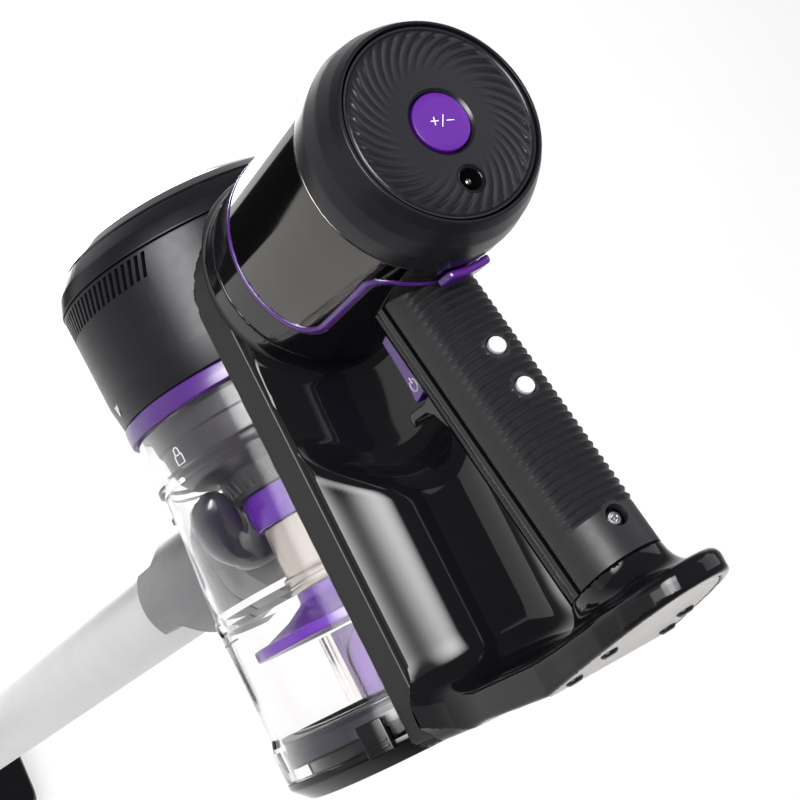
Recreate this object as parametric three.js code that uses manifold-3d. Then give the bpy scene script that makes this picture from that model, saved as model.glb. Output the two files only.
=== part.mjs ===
// Cordless stick vacuum, hung upright by the dock plate under its handle, wand pointing down.
// Units are millimetres. +Z is up along the wand, +X is the user's right and +Y is the side of
// the dust bin's domed top. Lengths below are in the hand unit's own axes, whose origin is where
// the bin axis (along Y) meets the top of the purple locking ring. The outer group shifts them so
// that the part's origin is the middle of the dock plate's face.
import * as THREE from 'three';
import { mergeVertices } from 'three/addons/utils/BufferGeometryUtils.js';
import Module from 'manifold-3d';

const wasm = await Module();
wasm.setup();

// ---------- driving dimensions ----------
const GAP = 0.3;                 // clearance between neighbouring pieces
const WALL = 2.4;                // moulded wall
const FINE = 32;                 // sides of the large round pieces
const ROUND = 20;                // sides of the medium round pieces
const SMALL = 12;                // sides of pins, screws and lenses

const BIN_CLEAR_R = 54.4;        // hollow that the bin slides in
const HOUSING_TOP = 42.0;        // seam between the filter housing and the domed cap
const RING_LOW = -6.2;           // lower edge of the purple locking ring
const CUP_LOW = -120.5;          // open lower rim of the clear cup
const LID_LOW = -132;

const MOTOR = { y: 12.7, r: 32.5, front: 66, rear: 157 };
const TRIM = { z: 80.5, rearZ: 126, halfX: 20.6, width: 1.7, corner: 6 };
const BEZEL_Z = 136;             // front edge of the rear bezel
const DISC_R = 26.9;
const BUTTON_R = 8.3;
const SOCKET_DROP = 16.7;        // charging socket below the motor axis

const BODY_HALF = 33.3;          // half width of the body's flanges
const BODY_LOW = -120;           // where the body meets the base foot
const COVER_TOP = -56;           // upper edge of the bulged rear cover

const HANDLE = { z: 121, tilt: THREE.MathUtils.degToRad(13.8), half: 12.8, depth: 32.6, power: 0.9 };
const GRIP_LOW = -109;

const LENS_R = 2.55;
const LENS_ALONG = [-43.5, -57];      // the two charge lamps, measured along the handle
const SCREW_ALONG = -98.9;
const POWER = { high: -16, low: -38 };

const BASE = { y: -130.3, z: 110, tilt: THREE.MathUtils.degToRad(10.6), plate: 1.8 };
const DOCK_ALONG = 30;           // dock point, measured along the sloping plate
const DOCK_Y = BASE.y + DOCK_ALONG * Math.sin(BASE.tilt);
const DOCK_Z = BASE.z + DOCK_ALONG * Math.cos(BASE.tilt);

const VENT = { from: 46, to: 130, step: 10.5 };   // slots round the housing, in degrees from the rear

// Heights along the wand are counted from the floor, through the function above().
const FLOOR_Z = -1045;
const above = (height) => FLOOR_Z + height;
const WAND = { y: -44.3, r: 18, wall: 1.6, top: -112, low: above(159) };
const COUPLING = { r: 23, low: -150 };
const LOWER = { r: 21.5, top: above(189), low: above(103) };
const NECK = { r: 15.5, top: above(102.7), pivotZ: above(41) };
const HEAD = { half: 112, back: -58, front: 66, top: above(59), low: above(6), corner: 16, wall: 5 };
const BRUSH = { y: 36, z: above(24), r: 21, half: 95 };
const WINDOW_HALF = 83;
const BAY = { near: 22, far: 99 };       // hollows under the head, beside the ankle
const MOTOR_AXIS = { y: -12, z: above(29) };
const BELT = { from: -92, to: -88 };
const RELEASE = { low: -122, high: -98 };
const WHEEL = { y: -46, z: above(12), r: 12, half: 6, x: 72 };

// ---------- geometry helpers ----------
function welded(geometry) {
  const bare = geometry.index ? geometry.toNonIndexed() : geometry.clone();
  bare.deleteAttribute('normal');
  bare.deleteAttribute('uv');
  const joined = mergeVertices(bare, 1e-4);
  const old = joined.index.array;
  const kept = [];
  for (let i = 0; i < old.length; i += 3) {
    const [a, b, c] = [old[i], old[i + 1], old[i + 2]];
    if (a !== b && b !== c && a !== c) kept.push(a, b, c);
  }
  joined.setIndex(kept);
  return outward(joined);
}

function outward(geometry) {
  const place = geometry.attributes.position;
  const index = geometry.index.array;
  const [a, b, c] = [new THREE.Vector3(), new THREE.Vector3(), new THREE.Vector3()];
  let volume = 0;
  for (let i = 0; i < index.length; i += 3) {
    a.fromBufferAttribute(place, index[i]);
    b.fromBufferAttribute(place, index[i + 1]);
    c.fromBufferAttribute(place, index[i + 2]);
    volume += a.dot(b.cross(c));
  }
  if (volume < 0) {
    const flipped = Array.from(index);
    for (let i = 0; i < flipped.length; i += 3) {
      [flipped[i], flipped[i + 1]] = [flipped[i + 1], flipped[i]];
    }
    geometry.setIndex(flipped);
  }
  return geometry;
}

function solid(geometry) {
  const clean = welded(geometry);
  const mesh = new wasm.Mesh({
    numProp: 3,
    vertProperties: new Float32Array(clean.attributes.position.array),
    triVerts: new Uint32Array(clean.index.array),
  });
  return new wasm.Manifold(mesh);
}

function geometryOf(body) {
  const mesh = body.getMesh();
  const geometry = new THREE.BufferGeometry();
  geometry.setAttribute('position', new THREE.BufferAttribute(new Float32Array(mesh.vertProperties), 3));
  geometry.setIndex(Array.from(mesh.triVerts));
  return geometry;
}

// A body turned about the Y axis from a profile of [radius, height] points. A profile that
// doesn't touch the axis closes on itself.
function turnedY(profile, sides = FINE) {
  const points = profile.map(([r, h]) => new THREE.Vector2(r, h));
  const onAxis = profile[0][0] === 0 && profile[profile.length - 1][0] === 0;
  if (!onAxis) points.push(points[0].clone());
  return new THREE.LatheGeometry(points, sides);
}

function turnedZ(profile, y, sides = FINE, x = 0) {
  return turnedY(profile, sides).rotateX(Math.PI / 2).translate(x, y, 0);
}

function turnedX(profile, y, z, sides = ROUND) {
  return turnedY(profile, sides).rotateZ(-Math.PI / 2).translate(0, y, z);
}

const tubeProfile = (inner, outer, low, high) => [[inner, low], [outer, low], [outer, high], [inner, high]];
const rodProfile = (r, low, high) => [[0, low], [r, low], [r, high], [0, high]];
const shapeOf = (points) => new THREE.Shape(points.map(([a, b]) => new THREE.Vector2(a, b)));

function block(x0, x1, y0, y1, z0, z1) {
  const box = new THREE.BoxGeometry(x1 - x0, y1 - y0, z1 - z0);
  return box.translate((x0 + x1) / 2, (y0 + y1) / 2, (z0 + z1) / 2);
}

// Outline in X and Z, pulled along Y from low to high.
function pulledY(points, low, high) {
  const body = new THREE.ExtrudeGeometry(shapeOf(points.map(([x, z]) => [x, -z])), {
    depth: high - low, bevelEnabled: false, steps: 1,
  });
  return body.rotateX(-Math.PI / 2).translate(0, low, 0);
}

// Outline in X and Y, pulled along Z from low to high.
function pulledZ(points, low, high) {
  const body = new THREE.ExtrudeGeometry(shapeOf(points), { depth: high - low, bevelEnabled: false });
  return body.translate(0, 0, low);
}

function arc(cx, cy, r, from, to, steps) {
  const points = [];
  for (let i = 0; i <= steps; i += 1) {
    const t = THREE.MathUtils.degToRad(from + ((to - from) * i) / steps);
    points.push([cx + r * Math.cos(t), cy + r * Math.sin(t)]);
  }
  return points;
}

const mirrored = (points) => points.concat(points.map(([a, b]) => [-a, b]).reverse());

// ---------- materials ----------
const paint = (color, roughness, metalness = 0, opacity = 1) => new THREE.MeshStandardMaterial({
  color, roughness, metalness, opacity, transparent: opacity < 1,
});
const GLOSS_BLACK = paint(0x14151a, 0.12);
const SATIN_BLACK = paint(0x2b2b30, 0.45);
const RUBBER = paint(0x232326, 0.75);
const GUNMETAL = paint(0x4b4845, 0.14, 0.9);
const PURPLE = paint(0x5f2a9c, 0.3);
const CLEAR = paint(0xdcdce2, 0.05, 0, 0.3);
const LIGHT_GREY = paint(0xd2cfca, 0.55);
const COUPLING_GREY = paint(0x7d7f82, 0.4);
const WAND_SILVER = paint(0xd6d4d4, 0.3, 0.6);
const STEEL = paint(0xb9bbbe, 0.3, 1);
const LENS_WHITE = paint(0xeeeef0, 0.25);
const CELL_BLUE = paint(0x2f5f8f, 0.5);
const BOARD_GREEN = paint(0x1f5a3a, 0.5);
const FILTER_WHITE = paint(0xe4e2dc, 0.9);
const BRISTLE = paint(0x4c2a78, 0.8);

const unit = new THREE.Group();
unit.position.set(0, -DOCK_Y, -DOCK_Z);
const handle = new THREE.Group();
handle.position.set(0, 0, HANDLE.z);
handle.rotation.x = -HANDLE.tilt;
const base = new THREE.Group();
base.position.set(0, BASE.y, BASE.z);
base.rotation.x = -BASE.tilt;
unit.add(handle, base);

function node(name, geometry, material, parent = unit) {
  const mesh = new THREE.Mesh(welded(geometry), material);
  mesh.name = name;
  parent.add(mesh);
  return mesh;
}

// ---------- body behind the bin ----------
function bodySection() {
  return mirrored([
    [BODY_HALF, 38], [BODY_HALF, 43.5], [28, 52.5], [23, 55.5], [18, 59], [10, 62.5], [3, 64],
  ]);
}

function bodyFront() {
  const crown = arc(0, MOTOR.y, BODY_HALF, 0, 180, 20);
  return [
    [BODY_HALF - 1.5, BODY_LOW], [BODY_HALF, -116], ...crown, [-BODY_HALF, -116], [1.5 - BODY_HALF, BODY_LOW],
  ];
}

function coverOutline(grow = 0) {
  return mirrored([
    [20 + grow, 50], [20 + grow, 56], [17 + grow, 62 + grow], [10, 67.5 + grow], [3, 70 + grow],
  ]);
}

function mainBody() {
  let body = solid(pulledY(bodySection(), BODY_LOW, 47));
  body = body.intersect(solid(pulledZ(bodyFront(), 30, 90)));
  body = body.add(solid(turnedZ([
    [0, 38], [BODY_HALF, 38], [BODY_HALF, 45], [MOTOR.r - 0.4, 63], [MOTOR.r - 2.5, MOTOR.front - GAP],
    [0, MOTOR.front - GAP],
  ], MOTOR.y)));
  body = body.subtract(solid(turnedZ(rodProfile(MOTOR.r - 5, 62, 70), MOTOR.y)));
  body = body.subtract(solid(turnedY(rodProfile(BIN_CLEAR_R, -140, 60), 40)));
  body = body.subtract(solid(turnedZ(rodProfile(14, 40, 80), 24, ROUND)));
  body = body.subtract(solid(pulledY(coverOutline(GAP), BODY_LOW + 4, COVER_TOP + GAP)));
  return geometryOf(body);
}

function rearCover() {
  let cover = solid(pulledY(coverOutline(), BODY_LOW + 4.3, COVER_TOP));
  cover = cover.subtract(solid(pulledY(
    mirrored([[19, 40], [19, 55.2], [15.5, 61], [9, 65], [2, 67.2]]), BODY_LOW + 4.3 - 1, COVER_TOP - WALL)));
  cover = cover.subtract(solid(turnedY(rodProfile(BIN_CLEAR_R, -140, 60), 40)));
  return geometryOf(cover);
}

node('main_body', mainBody(), GLOSS_BLACK);
node('rear_cover', rearCover(), GLOSS_BLACK);
for (const [i, x] of [-9.35, 9.35].entries()) {
  const cell = turnedY(rodProfile(8.9, BODY_LOW + 5.5, COVER_TOP - WALL - 0.4), SMALL);
  cell.scale(0.72, 0.95, 0.5).translate(x * 0.72, -6, 59.6);
  node(`battery_cell_${i + 1}`, cell, CELL_BLUE);
}

// ---------- motor barrel ----------
// Region of the barrel that the gloss-black collar fills: all of it up to the trim line, and a
// saddle under it that carries the handle.
function collarRegion(grow) {
  const r = TRIM.corner;
  const x = TRIM.halfX + grow;
  const z = TRIM.z + grow;
  const rearZ = TRIM.rearZ + grow;
  const inner = arc(x + r - grow, z + r - grow, r - grow, 270, 180, 4);
  const outer = arc(x - r - grow, rearZ - r - grow, r + grow, 0, 90, 4);
  const half = [[45, 40], [45, z], ...inner, ...outer];
  const lower = solid(pulledY(mirrored(half), MOTOR.y - 60, MOTOR.y - 10));
  return lower.add(solid(block(-45, 45, MOTOR.y - 10.01, MOTOR.y + 60, 40, z)));
}

function barrelShell(inner, outer, from, to) {
  return solid(turnedZ(tubeProfile(inner, outer, from, to), MOTOR.y));
}

function motorPieces() {
  const collar = barrelShell(MOTOR.r - 4, MOTOR.r, MOTOR.front, BEZEL_Z - GAP).intersect(collarRegion(0));
  const trim = barrelShell(MOTOR.r - 2.2, MOTOR.r + 0.5, MOTOR.front, BEZEL_Z - GAP)
    .intersect(collarRegion(TRIM.width - 0.05)).subtract(collarRegion(0.05));
  const cover = barrelShell(MOTOR.r - 2.2, MOTOR.r + 0.1, MOTOR.front, BEZEL_Z - GAP)
    .subtract(collarRegion(TRIM.width));
  return { collar, trim, cover };
}

const barrel = motorPieces();
node('motor_collar', geometryOf(barrel.collar), GLOSS_BLACK);
node('trim_line', geometryOf(barrel.trim), PURPLE);
node('motor_cover', geometryOf(barrel.cover), GUNMETAL);

const rimR = MOTOR.r + 0.2;
node('rear_bezel', turnedZ([
  [MOTOR.r - 3.2, BEZEL_Z], [rimR, BEZEL_Z], [rimR, 142.5], [31.7, 148.5], [30, 153.6],
  [DISC_R + 1.4, MOTOR.rear], [DISC_R + GAP, MOTOR.rear], [DISC_R + GAP, 150.7], [MOTOR.r - 3.2, 150.7],
], MOTOR.y), SATIN_BLACK);

function rearGrille() {
  let disc = solid(turnedZ([
    [BUTTON_R + 2.2, 151.2], [DISC_R, 151.2], [DISC_R, 155.6], [DISC_R - 1.5, 156.6],
    [BUTTON_R + 2.6, 156.6], [BUTTON_R + 1.0, 155.2], [BUTTON_R + 1.0, 153.6], [BUTTON_R + 2.2, 153.6],
  ], MOTOR.y));
  disc = disc.subtract(solid(turnedZ(rodProfile(3.9, 140, 160), MOTOR.y - SOCKET_DROP, SMALL)));
  return geometryOf(disc);
}
node('rear_grille', rearGrille(), SATIN_BLACK);
node('mode_button', turnedZ([
  [0, 151.5], [BUTTON_R - 1.5, 151.5], [BUTTON_R - 1.5, 154], [BUTTON_R, 154], [BUTTON_R, 156.8],
  [BUTTON_R - 1, 157.6], [0, 157.9],
], MOTOR.y, ROUND), PURPLE);
node('socket_shell', turnedZ([
  [0, 145], [3.6, 145], [3.6, 156.2], [2.7, 156.2], [2.7, 147], [0, 147],
], MOTOR.y - SOCKET_DROP, SMALL), SATIN_BLACK);
node('socket_pin', turnedZ(rodProfile(0.9, 147.3, 153.5), MOTOR.y - SOCKET_DROP, SMALL), STEEL);

node('circuit_board', turnedZ(rodProfile(25.5, 139, 140.6), MOTOR.y, ROUND), BOARD_GREEN);

node('motor_can', turnedZ([
  [3.4, 84], [24, 84], [26, 87], [26, 128], [22, 134], [3.4, 134], [3.4, 131.5], [20.5, 131.5], [23.5, 126.5],
  [23.5, 89], [3.4, 89],
], MOTOR.y, ROUND), STEEL);
node('motor_shaft', turnedZ([
  [0, 72], [2.8, 72], [2.8, 96], [14, 96], [14, 120], [2.8, 120], [2.8, 133], [0, 133],
], MOTOR.y, ROUND), STEEL);

function impeller() {
  let wheel = solid(turnedZ([
    [3.1, 70], [7, 70], [9, 75], [24.5, 79.6], [24.5, 81.2], [3.1, 81.2],
  ], MOTOR.y, ROUND));
  const blades = 9;
  for (let i = 0; i < blades; i += 1) {
    const blade = block(8, 24, -0.6, 0.6, 73, 81);
    blade.rotateZ((i * 2 * Math.PI) / blades).translate(0, MOTOR.y, 0);
    wheel = wheel.add(solid(blade));
  }
  return geometryOf(wheel);
}
node('impeller', impeller(), SATIN_BLACK);

// ---------- handle ----------
// Half of the handle's superelliptic section, from angle a to angle b in degrees, with 0 at +X and
// 90 at the rear.
function handleArc(a, b, shrink, steps) {
  const points = [];
  for (let i = 0; i <= steps; i += 1) {
    const t = THREE.MathUtils.degToRad(a + ((b - a) * i) / steps);
    const [c, s] = [Math.cos(t), Math.sin(t)];
    const x = (HANDLE.half - shrink) * Math.sign(c) * Math.abs(c) ** HANDLE.power;
    const z = (HANDLE.depth / 2 - shrink) * Math.sign(s) * Math.abs(s) ** HANDLE.power - HANDLE.depth / 2;
    points.push([x, z]);
  }
  return points;
}

// Barrel and tilted foot cut the handle pieces to length.
function trimmedHandle(points, low, high) {
  const pose = new THREE.Matrix4().makeRotationX(-HANDLE.tilt).setPosition(0, 0, HANDLE.z);
  let piece = solid(pulledY(points, low, high).applyMatrix4(pose));
  piece = piece.subtract(solid(turnedZ(rodProfile(MOTOR.r + 0.5 + GAP, 40, 170), MOTOR.y)));
  return geometryOf(piece);
}
function onHandle(geometry) {
  return geometry.applyMatrix4(new THREE.Matrix4().makeRotationX(-HANDLE.tilt).setPosition(0, 0, HANDLE.z));
}

function rearHole(r, along) {
  const rod = new THREE.CylinderGeometry(r, r, 16, SMALL).rotateX(Math.PI / 2);
  return solid(onHandle(rod.translate(0, along, 0)));
}

function handleGrip() {
  const outline = [...handleArc(4, 176, 0, 20), ...handleArc(174, 6, WALL, 16)];
  let grip = solid(trimmedHandle(outline, GRIP_LOW, -8));
  for (const along of LENS_ALONG) grip = grip.subtract(rearHole(LENS_R + GAP, along));
  return geometryOf(grip.subtract(rearHole(3.1, SCREW_ALONG)));
}

function handleFront() {
  const outline = [...handleArc(184, 356, 0, 20), ...handleArc(354, 186, WALL, 16)];
  const slot = onHandle(block(-8.4, 8.4, POWER.low - GAP - 0.2, POWER.high + GAP + 0.2, -40, -20));
  return geometryOf(solid(trimmedHandle(outline, GRIP_LOW, -8)).subtract(solid(slot)));
}

node('handle_grip', handleGrip(), RUBBER);
node('handle_front', handleFront(), GLOSS_BLACK);
const handleCell = turnedY(rodProfile(9.2, -94, -42), SMALL);
node('battery_cell_3', handleCell.translate(0, 0, -HANDLE.depth / 2 + 1), CELL_BLUE, handle);

const alongHandleZ = (profile, along) => turnedY(profile, SMALL).rotateX(Math.PI / 2).translate(0, along, 0);
node('led_lens_upper', alongHandleZ(rodProfile(LENS_R, -3.4, 0.7), LENS_ALONG[0]), LENS_WHITE, handle);
node('led_lens_lower', alongHandleZ(rodProfile(LENS_R, -3.4, 0.7), LENS_ALONG[1]), LENS_WHITE, handle);
node('handle_screw', alongHandleZ(rodProfile(2.5, -6, -1.9), SCREW_ALONG), STEEL, handle);

// Side outlines on the handle are [depth, along] points, pulled across the handle's width.
function pulledAcross(points, halfWidth) {
  const body = new THREE.ExtrudeGeometry(shapeOf(points.map(([z, y]) => [-z, y])), {
    depth: 2 * halfWidth, bevelEnabled: false,
  });
  return body.rotateY(Math.PI / 2).translate(-halfWidth, 0, 0);
}
node('power_button', pulledAcross([
  [-24, POWER.high], [-24, POWER.low], [-34.5, POWER.low], [-37.6, POWER.low + 3], [-37, POWER.low + 12],
  [-34, POWER.high - 2], [-32.5, POWER.high],
], 7.9), PURPLE, handle);
node('finger_stop', pulledAcross([
  [-33, POWER.low - 1.2], [-33, POWER.low - 17], [-35, POWER.low - 12], [-39, POWER.low - 7.5],
  [-45, POWER.low - 6.5], [-47.5, POWER.low - 3.5], [-45.5, POWER.low - 1.2],
], 8.5), GLOSS_BLACK, handle);

node('trim_tab', geometryOf(solid(block(-8.5, 8.5, -26, -8, 128.1, 135.4))
  .subtract(solid(turnedZ(rodProfile(MOTOR.r + GAP + 0.1, 120, 140), MOTOR.y)))
  .intersect(solid(turnedZ(rodProfile(MOTOR.r + 3.4, 120, 140), MOTOR.y)))), PURPLE);

// ---------- base foot ----------
function baseFoot() {
  const plan = mirrored([
    [BODY_HALF, 38], [33, 46], [29.5, 56], [27.3, 66], [26, 85], [23.6, 112], [22.4, 120], [21.3, 129],
    [19.6, 140], [17, 150], [13.5, 158], [8.5, 164.5], [3, 167],
  ]);
  const top = BODY_LOW - GAP;
  const side = [
    [38, BASE.y], [BASE.z, BASE.y], [177, BASE.y + 67 * Math.tan(BASE.tilt)], [177, -111.2], [150, -115],
    [113, -119.6], [72, top], [38, top],
  ];
  const profile = new THREE.ExtrudeGeometry(shapeOf(side.map(([z, y]) => [-z, y])), {
    depth: 80, bevelEnabled: false,
  }).rotateY(Math.PI / 2).translate(-40, 0, 0);
  let foot = solid(pulledY(plan, -140, -100)).intersect(solid(profile));
  const riser = onHandle(pulledY([...handleArc(0, 352, 0, 30)], -122, GRIP_LOW - GAP));
  foot = foot.add(solid(riser).intersect(solid(block(-40, 40, -124, -80, 90, 180))));
  foot = foot.subtract(solid(turnedY(rodProfile(BIN_CLEAR_R, -140, 60), 40)));
  return geometryOf(foot.subtract(solid(onBase(pulledY(plateOutline(GAP), -2, BASE.plate + GAP)))));
}

function plateOutline(grow) {
  return mirrored([
    [20.8 + grow, -4 - grow], [20.6 + grow, 7], [19.1 + grow, 18], [16.8 + grow, 31], [13.4 + grow, 42],
    [9 + grow, 49.5 + grow], [3, 53 + grow],
  ]);
}

function onBase(geometry) {
  return geometry.applyMatrix4(new THREE.Matrix4().makeRotationX(-BASE.tilt).setPosition(0, BASE.y, BASE.z));
}

node('base_foot', baseFoot(), GLOSS_BLACK);
const STUDS = [[-16.6, 6], [16.6, 6], [-13.3, 22.5], [13.3, 22.5]];
function basePlate() {
  let plate = solid(pulledY(plateOutline(0), 0, BASE.plate));
  for (const [x, z] of STUDS) {
    plate = plate.subtract(solid(turnedY(rodProfile(3, -1, 1), SMALL).translate(x, 0, z)));
  }
  return geometryOf(plate);
}
node('base_plate', basePlate(), LIGHT_GREY, base);
for (const [i, [x, z]] of STUDS.entries()) {
  const stud = turnedY([[0, -1.1], [1.9, -1.1], [2.6, -0.5], [2.6, 0.7], [0, 0.7]], SMALL);
  node(`base_screw_${i + 1}`, stud.translate(x, 0, z), SATIN_BLACK, base);
}

// ---------- filter housing and domed cap ----------
function filterHousing() {
  let shell = solid(turnedY([
    [14, 0], [50.2, 0], [51.6, 9], [52.4, 40], [52.5, HOUSING_TOP - GAP], [50, HOUSING_TOP - GAP],
    [49.4, 9], [48, WALL], [14, WALL],
  ]));
  for (let az = VENT.from; az <= VENT.to; az += VENT.step) {
    for (const side of [-1, 1]) {
      const slot = new THREE.BoxGeometry(2.3, 7.6, 8).rotateZ(-0.3 * side).translate(0, 37, 51.5);
      shell = shell.subtract(solid(slot.rotateY(THREE.MathUtils.degToRad(az * side))));
    }
  }
  const port = turnedZ(rodProfile(13.5, 40, 60), 24, ROUND);
  return geometryOf(shell.subtract(solid(port)));
}
node('filter_housing', filterHousing(), SATIN_BLACK);

node('dome_cap', turnedY([
  [0, 65], [18, 63.9], [35, 59.9], [46.2, 53.9], [51.5, 47.3], [52.8, HOUSING_TOP], [50.3, HOUSING_TOP],
  [48.9, 46.4], [44.6, 52], [34, 57.4], [17.6, 61.4], [0, 62.5],
]), GLOSS_BLACK);

function pleatedRing(inner, outer, pleats) {
  const points = [];
  for (let i = 0; i < pleats * 2; i += 1) {
    const t = (i * Math.PI) / pleats;
    const r = i % 2 ? outer : outer - 5;
    points.push([r * Math.cos(t), r * Math.sin(t)]);
  }
  const outline = shapeOf(points);
  const bore = arc(0, 0, inner, 360, 360 / 24, 23).map(([x, y]) => new THREE.Vector2(x, y));
  outline.holes.push(new THREE.Path(bore));
  const ring = new THREE.ExtrudeGeometry(outline, { depth: 30, bevelEnabled: false });
  return ring.rotateX(-Math.PI / 2).translate(0, 6, 0);
}
node('pre_filter', pleatedRing(22, 42, 28), FILTER_WHITE);

// ---------- dust bin ----------
node('lock_ring', turnedY(tubeProfile(46.4, 50.7, RING_LOW, -GAP)), PURPLE);

const lidPose = new THREE.Matrix4().makeRotationY(THREE.MathUtils.degToRad(-47));
const onLid = (geometry) => geometry.applyMatrix4(lidPose);
const HINGE = { y: -121.4, z: -57, r: 3, pin: 1.4 };
const hingeRod = (r, from, to) => onLid(turnedX(rodProfile(r, from, to), HINGE.y, HINGE.z, SMALL));

function dustCup() {
  let cup = solid(turnedY([
    [48.9, -6.5], [48.5, -21.6], [49.7, -23], [49.3, -40], [51, -68], [51.8, -70], [51.8, -111],
    [53, -114], [53, CUP_LOW], [49.9, CUP_LOW], [49.9, -110], [49.3, -70], [46.9, -40], [46.4, -6.5],
  ]));
  cup = cup.subtract(solid(turnedZ(rodProfile(12, -60, -30), WAND.y, ROUND)));
  for (const side of [-1, 1]) {
    const [from, to] = side < 0 ? [-8.6, -4.6] : [4.6, 8.6];
    cup = cup.add(solid(hingeRod(HINGE.r, from, to)));
    cup = cup.add(solid(onLid(block(from, to, HINGE.y - 0.5, HINGE.y + 6, -57.5, -51.3))));
  }
  cup = cup.subtract(solid(onLid(block(-4.5, 4.5, HINGE.y - 5, HINGE.y + 3.6, -62, -53.4))));
  return geometryOf(cup.subtract(solid(hingeRod(HINGE.pin + 0.1, -10, 10))));
}

function binLid() {
  let lid = solid(turnedY([
    [0, LID_LOW], [48.5, LID_LOW], [53.2, -126.8], [53.2, CUP_LOW - 0.4], [44.6, CUP_LOW - 0.4],
    [44.6, -112.6], [42.2, -112.6], [42.2, -129.6], [0, -129.6],
  ]));
  lid = lid.add(solid(hingeRod(HINGE.r, -4.2, 4.2)));
  lid = lid.add(solid(onLid(block(-4.2, 4.2, HINGE.y - 3, HINGE.y, -57, -51.6))));
  for (const side of [-1, 1]) {
    const [from, to] = side < 0 ? [-9, -4.3] : [4.3, 9];
    const edge = block(from, to, -126, -118, -60, -50.8);
    lid = lid.subtract(solid(onLid(edge)));
  }
  lid = lid.subtract(solid(onLid(block(-6.3, 6.3, -128, -118, 51.4, 56))));
  return geometryOf(lid.subtract(solid(hingeRod(HINGE.pin + 0.1, -10, 10))));
}
node('dust_cup', dustCup(), CLEAR);
node('bin_lid', binLid(), GLOSS_BLACK);
node('lid_seal', turnedY(tubeProfile(44.9, 49.4, -120.4, -113)), SATIN_BLACK);
node('lid_hinge_pin', hingeRod(HINGE.pin, -8.4, 8.4), STEEL);
node('lid_latch', geometryOf(solid(onLid(block(-5.8, 5.8, -127.6, -112.5, 53.5, 56.6)))
  .add(solid(onLid(block(-5.8, 5.8, -127.6, -124.2, 51.8, 54))))), SATIN_BLACK);

node('cyclone_shroud', turnedY([
  [12, -3.2], [46, -3.2], [46, -6.6], [31, -6.6], [29, -37.6], [26.5, -37.6], [28.4, -9.2], [12, -9.2],
]), SATIN_BLACK);
node('cyclone_collar', turnedY(tubeProfile(22, 27, -49.6, -38), ROUND), PURPLE);
node('vortex_tube', turnedY(tubeProfile(22.4, 24.4, -71.6, -49.9), ROUND), CLEAR);
node('cyclone_skirt', turnedY([
  [20, -72], [23.8, -72], [23.8, -75.4], [40, -82.6], [44.4, -83], [44.4, -86.6], [38, -86.6], [20, -78.4],
]), PURPLE);

function dustGuide() {
  let guide = solid(turnedY(tubeProfile(21.6, 24, -111.6, -88.2), ROUND));
  const arch = shapeOf([[-11, -120], [11, -120], [11, -101], ...arc(0, -101, 11, 15, 165, 6), [-11, -101]]);
  const opening = new THREE.ExtrudeGeometry(arch, { depth: 60, bevelEnabled: false }).translate(0, 0, -30);
  return geometryOf(guide.subtract(solid(opening.rotateY(THREE.MathUtils.degToRad(-47)))));
}
node('dust_guide', dustGuide(), PURPLE);

function inletDuct() {
  const path = new THREE.CatmullRomCurve3([
    [0, -44.3, -43.5], [-3, -44.3, -39.5], [-12, -44.3, -36], [-22, -45, -31], [-31, -46, -21.5],
    [-36.5, -47.5, -8],
  ].map((p) => new THREE.Vector3(...p)));
  const ring = (r, from, to) => new THREE.Path(arc(0, 0, r, from, to, 10)
    .map(([x, y]) => new THREE.Vector2(x, y)));
  const section = new THREE.Shape(ring(8.4, 0, 335).getPoints());
  section.holes.push(ring(6.8, 335, 0));
  return new THREE.ExtrudeGeometry(section, { steps: 10, extrudePath: path });
}
node('inlet_duct', inletDuct(), SATIN_BLACK);

// ---------- wand ----------
function wandCoupling() {
  let part = solid(turnedZ([
    [10, -48], [22, -48], [COUPLING.r, -62], [COUPLING.r, COUPLING.low], [WAND.r + 0.4, COUPLING.low],
    [WAND.r + 0.4, WAND.top + 0.5], [13, WAND.top + 6], [10, -90],
  ], WAND.y, ROUND));
  part = part.subtract(solid(turnedY(rodProfile(52.3, -80, 0), 40)));
  part = part.add(solid(turnedZ(tubeProfile(9.6, 11.6, -54, -46.4), WAND.y, ROUND)));
  const pocket = block(-7, 7, WAND.y + 15, WAND.y + 30, RELEASE.low - GAP, RELEASE.high + GAP);
  part = part.subtract(solid(block(-30, 30, WAND.y + 12.9, WAND.y + 40, -160, -127)));
  part = part.subtract(solid(block(-30, 30, WAND.y - 40, WAND.y - 12.9, -160, -127)));
  return geometryOf(part.subtract(solid(pocket)));
}
node('wand_coupling', wandCoupling(), COUPLING_GREY);
node('wand_release', pulledAcross([
  [RELEASE.low, WAND.y + 20.8], [RELEASE.high, WAND.y + 20.8], [RELEASE.high, WAND.y + 24.4],
  [RELEASE.low + 6, WAND.y + 25.2], [RELEASE.low, WAND.y + 24.4],
], 6.7), SATIN_BLACK);
const wandProfile = tubeProfile(WAND.r - WAND.wall, WAND.r, WAND.low, WAND.top);
node('wand_tube', turnedZ(wandProfile, WAND.y, ROUND), WAND_SILVER);
node('lower_coupling', turnedZ([
  [WAND.r + 0.4, LOWER.top], [LOWER.r - 1, LOWER.top], [LOWER.r, LOWER.top - 3], [LOWER.r, LOWER.low + 6],
  [LOWER.r - 3, LOWER.low], [12, LOWER.low], [12, WAND.low - 6], [WAND.r + 0.4, WAND.low - 0.5],
], WAND.y, ROUND), COUPLING_GREY);

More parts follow.
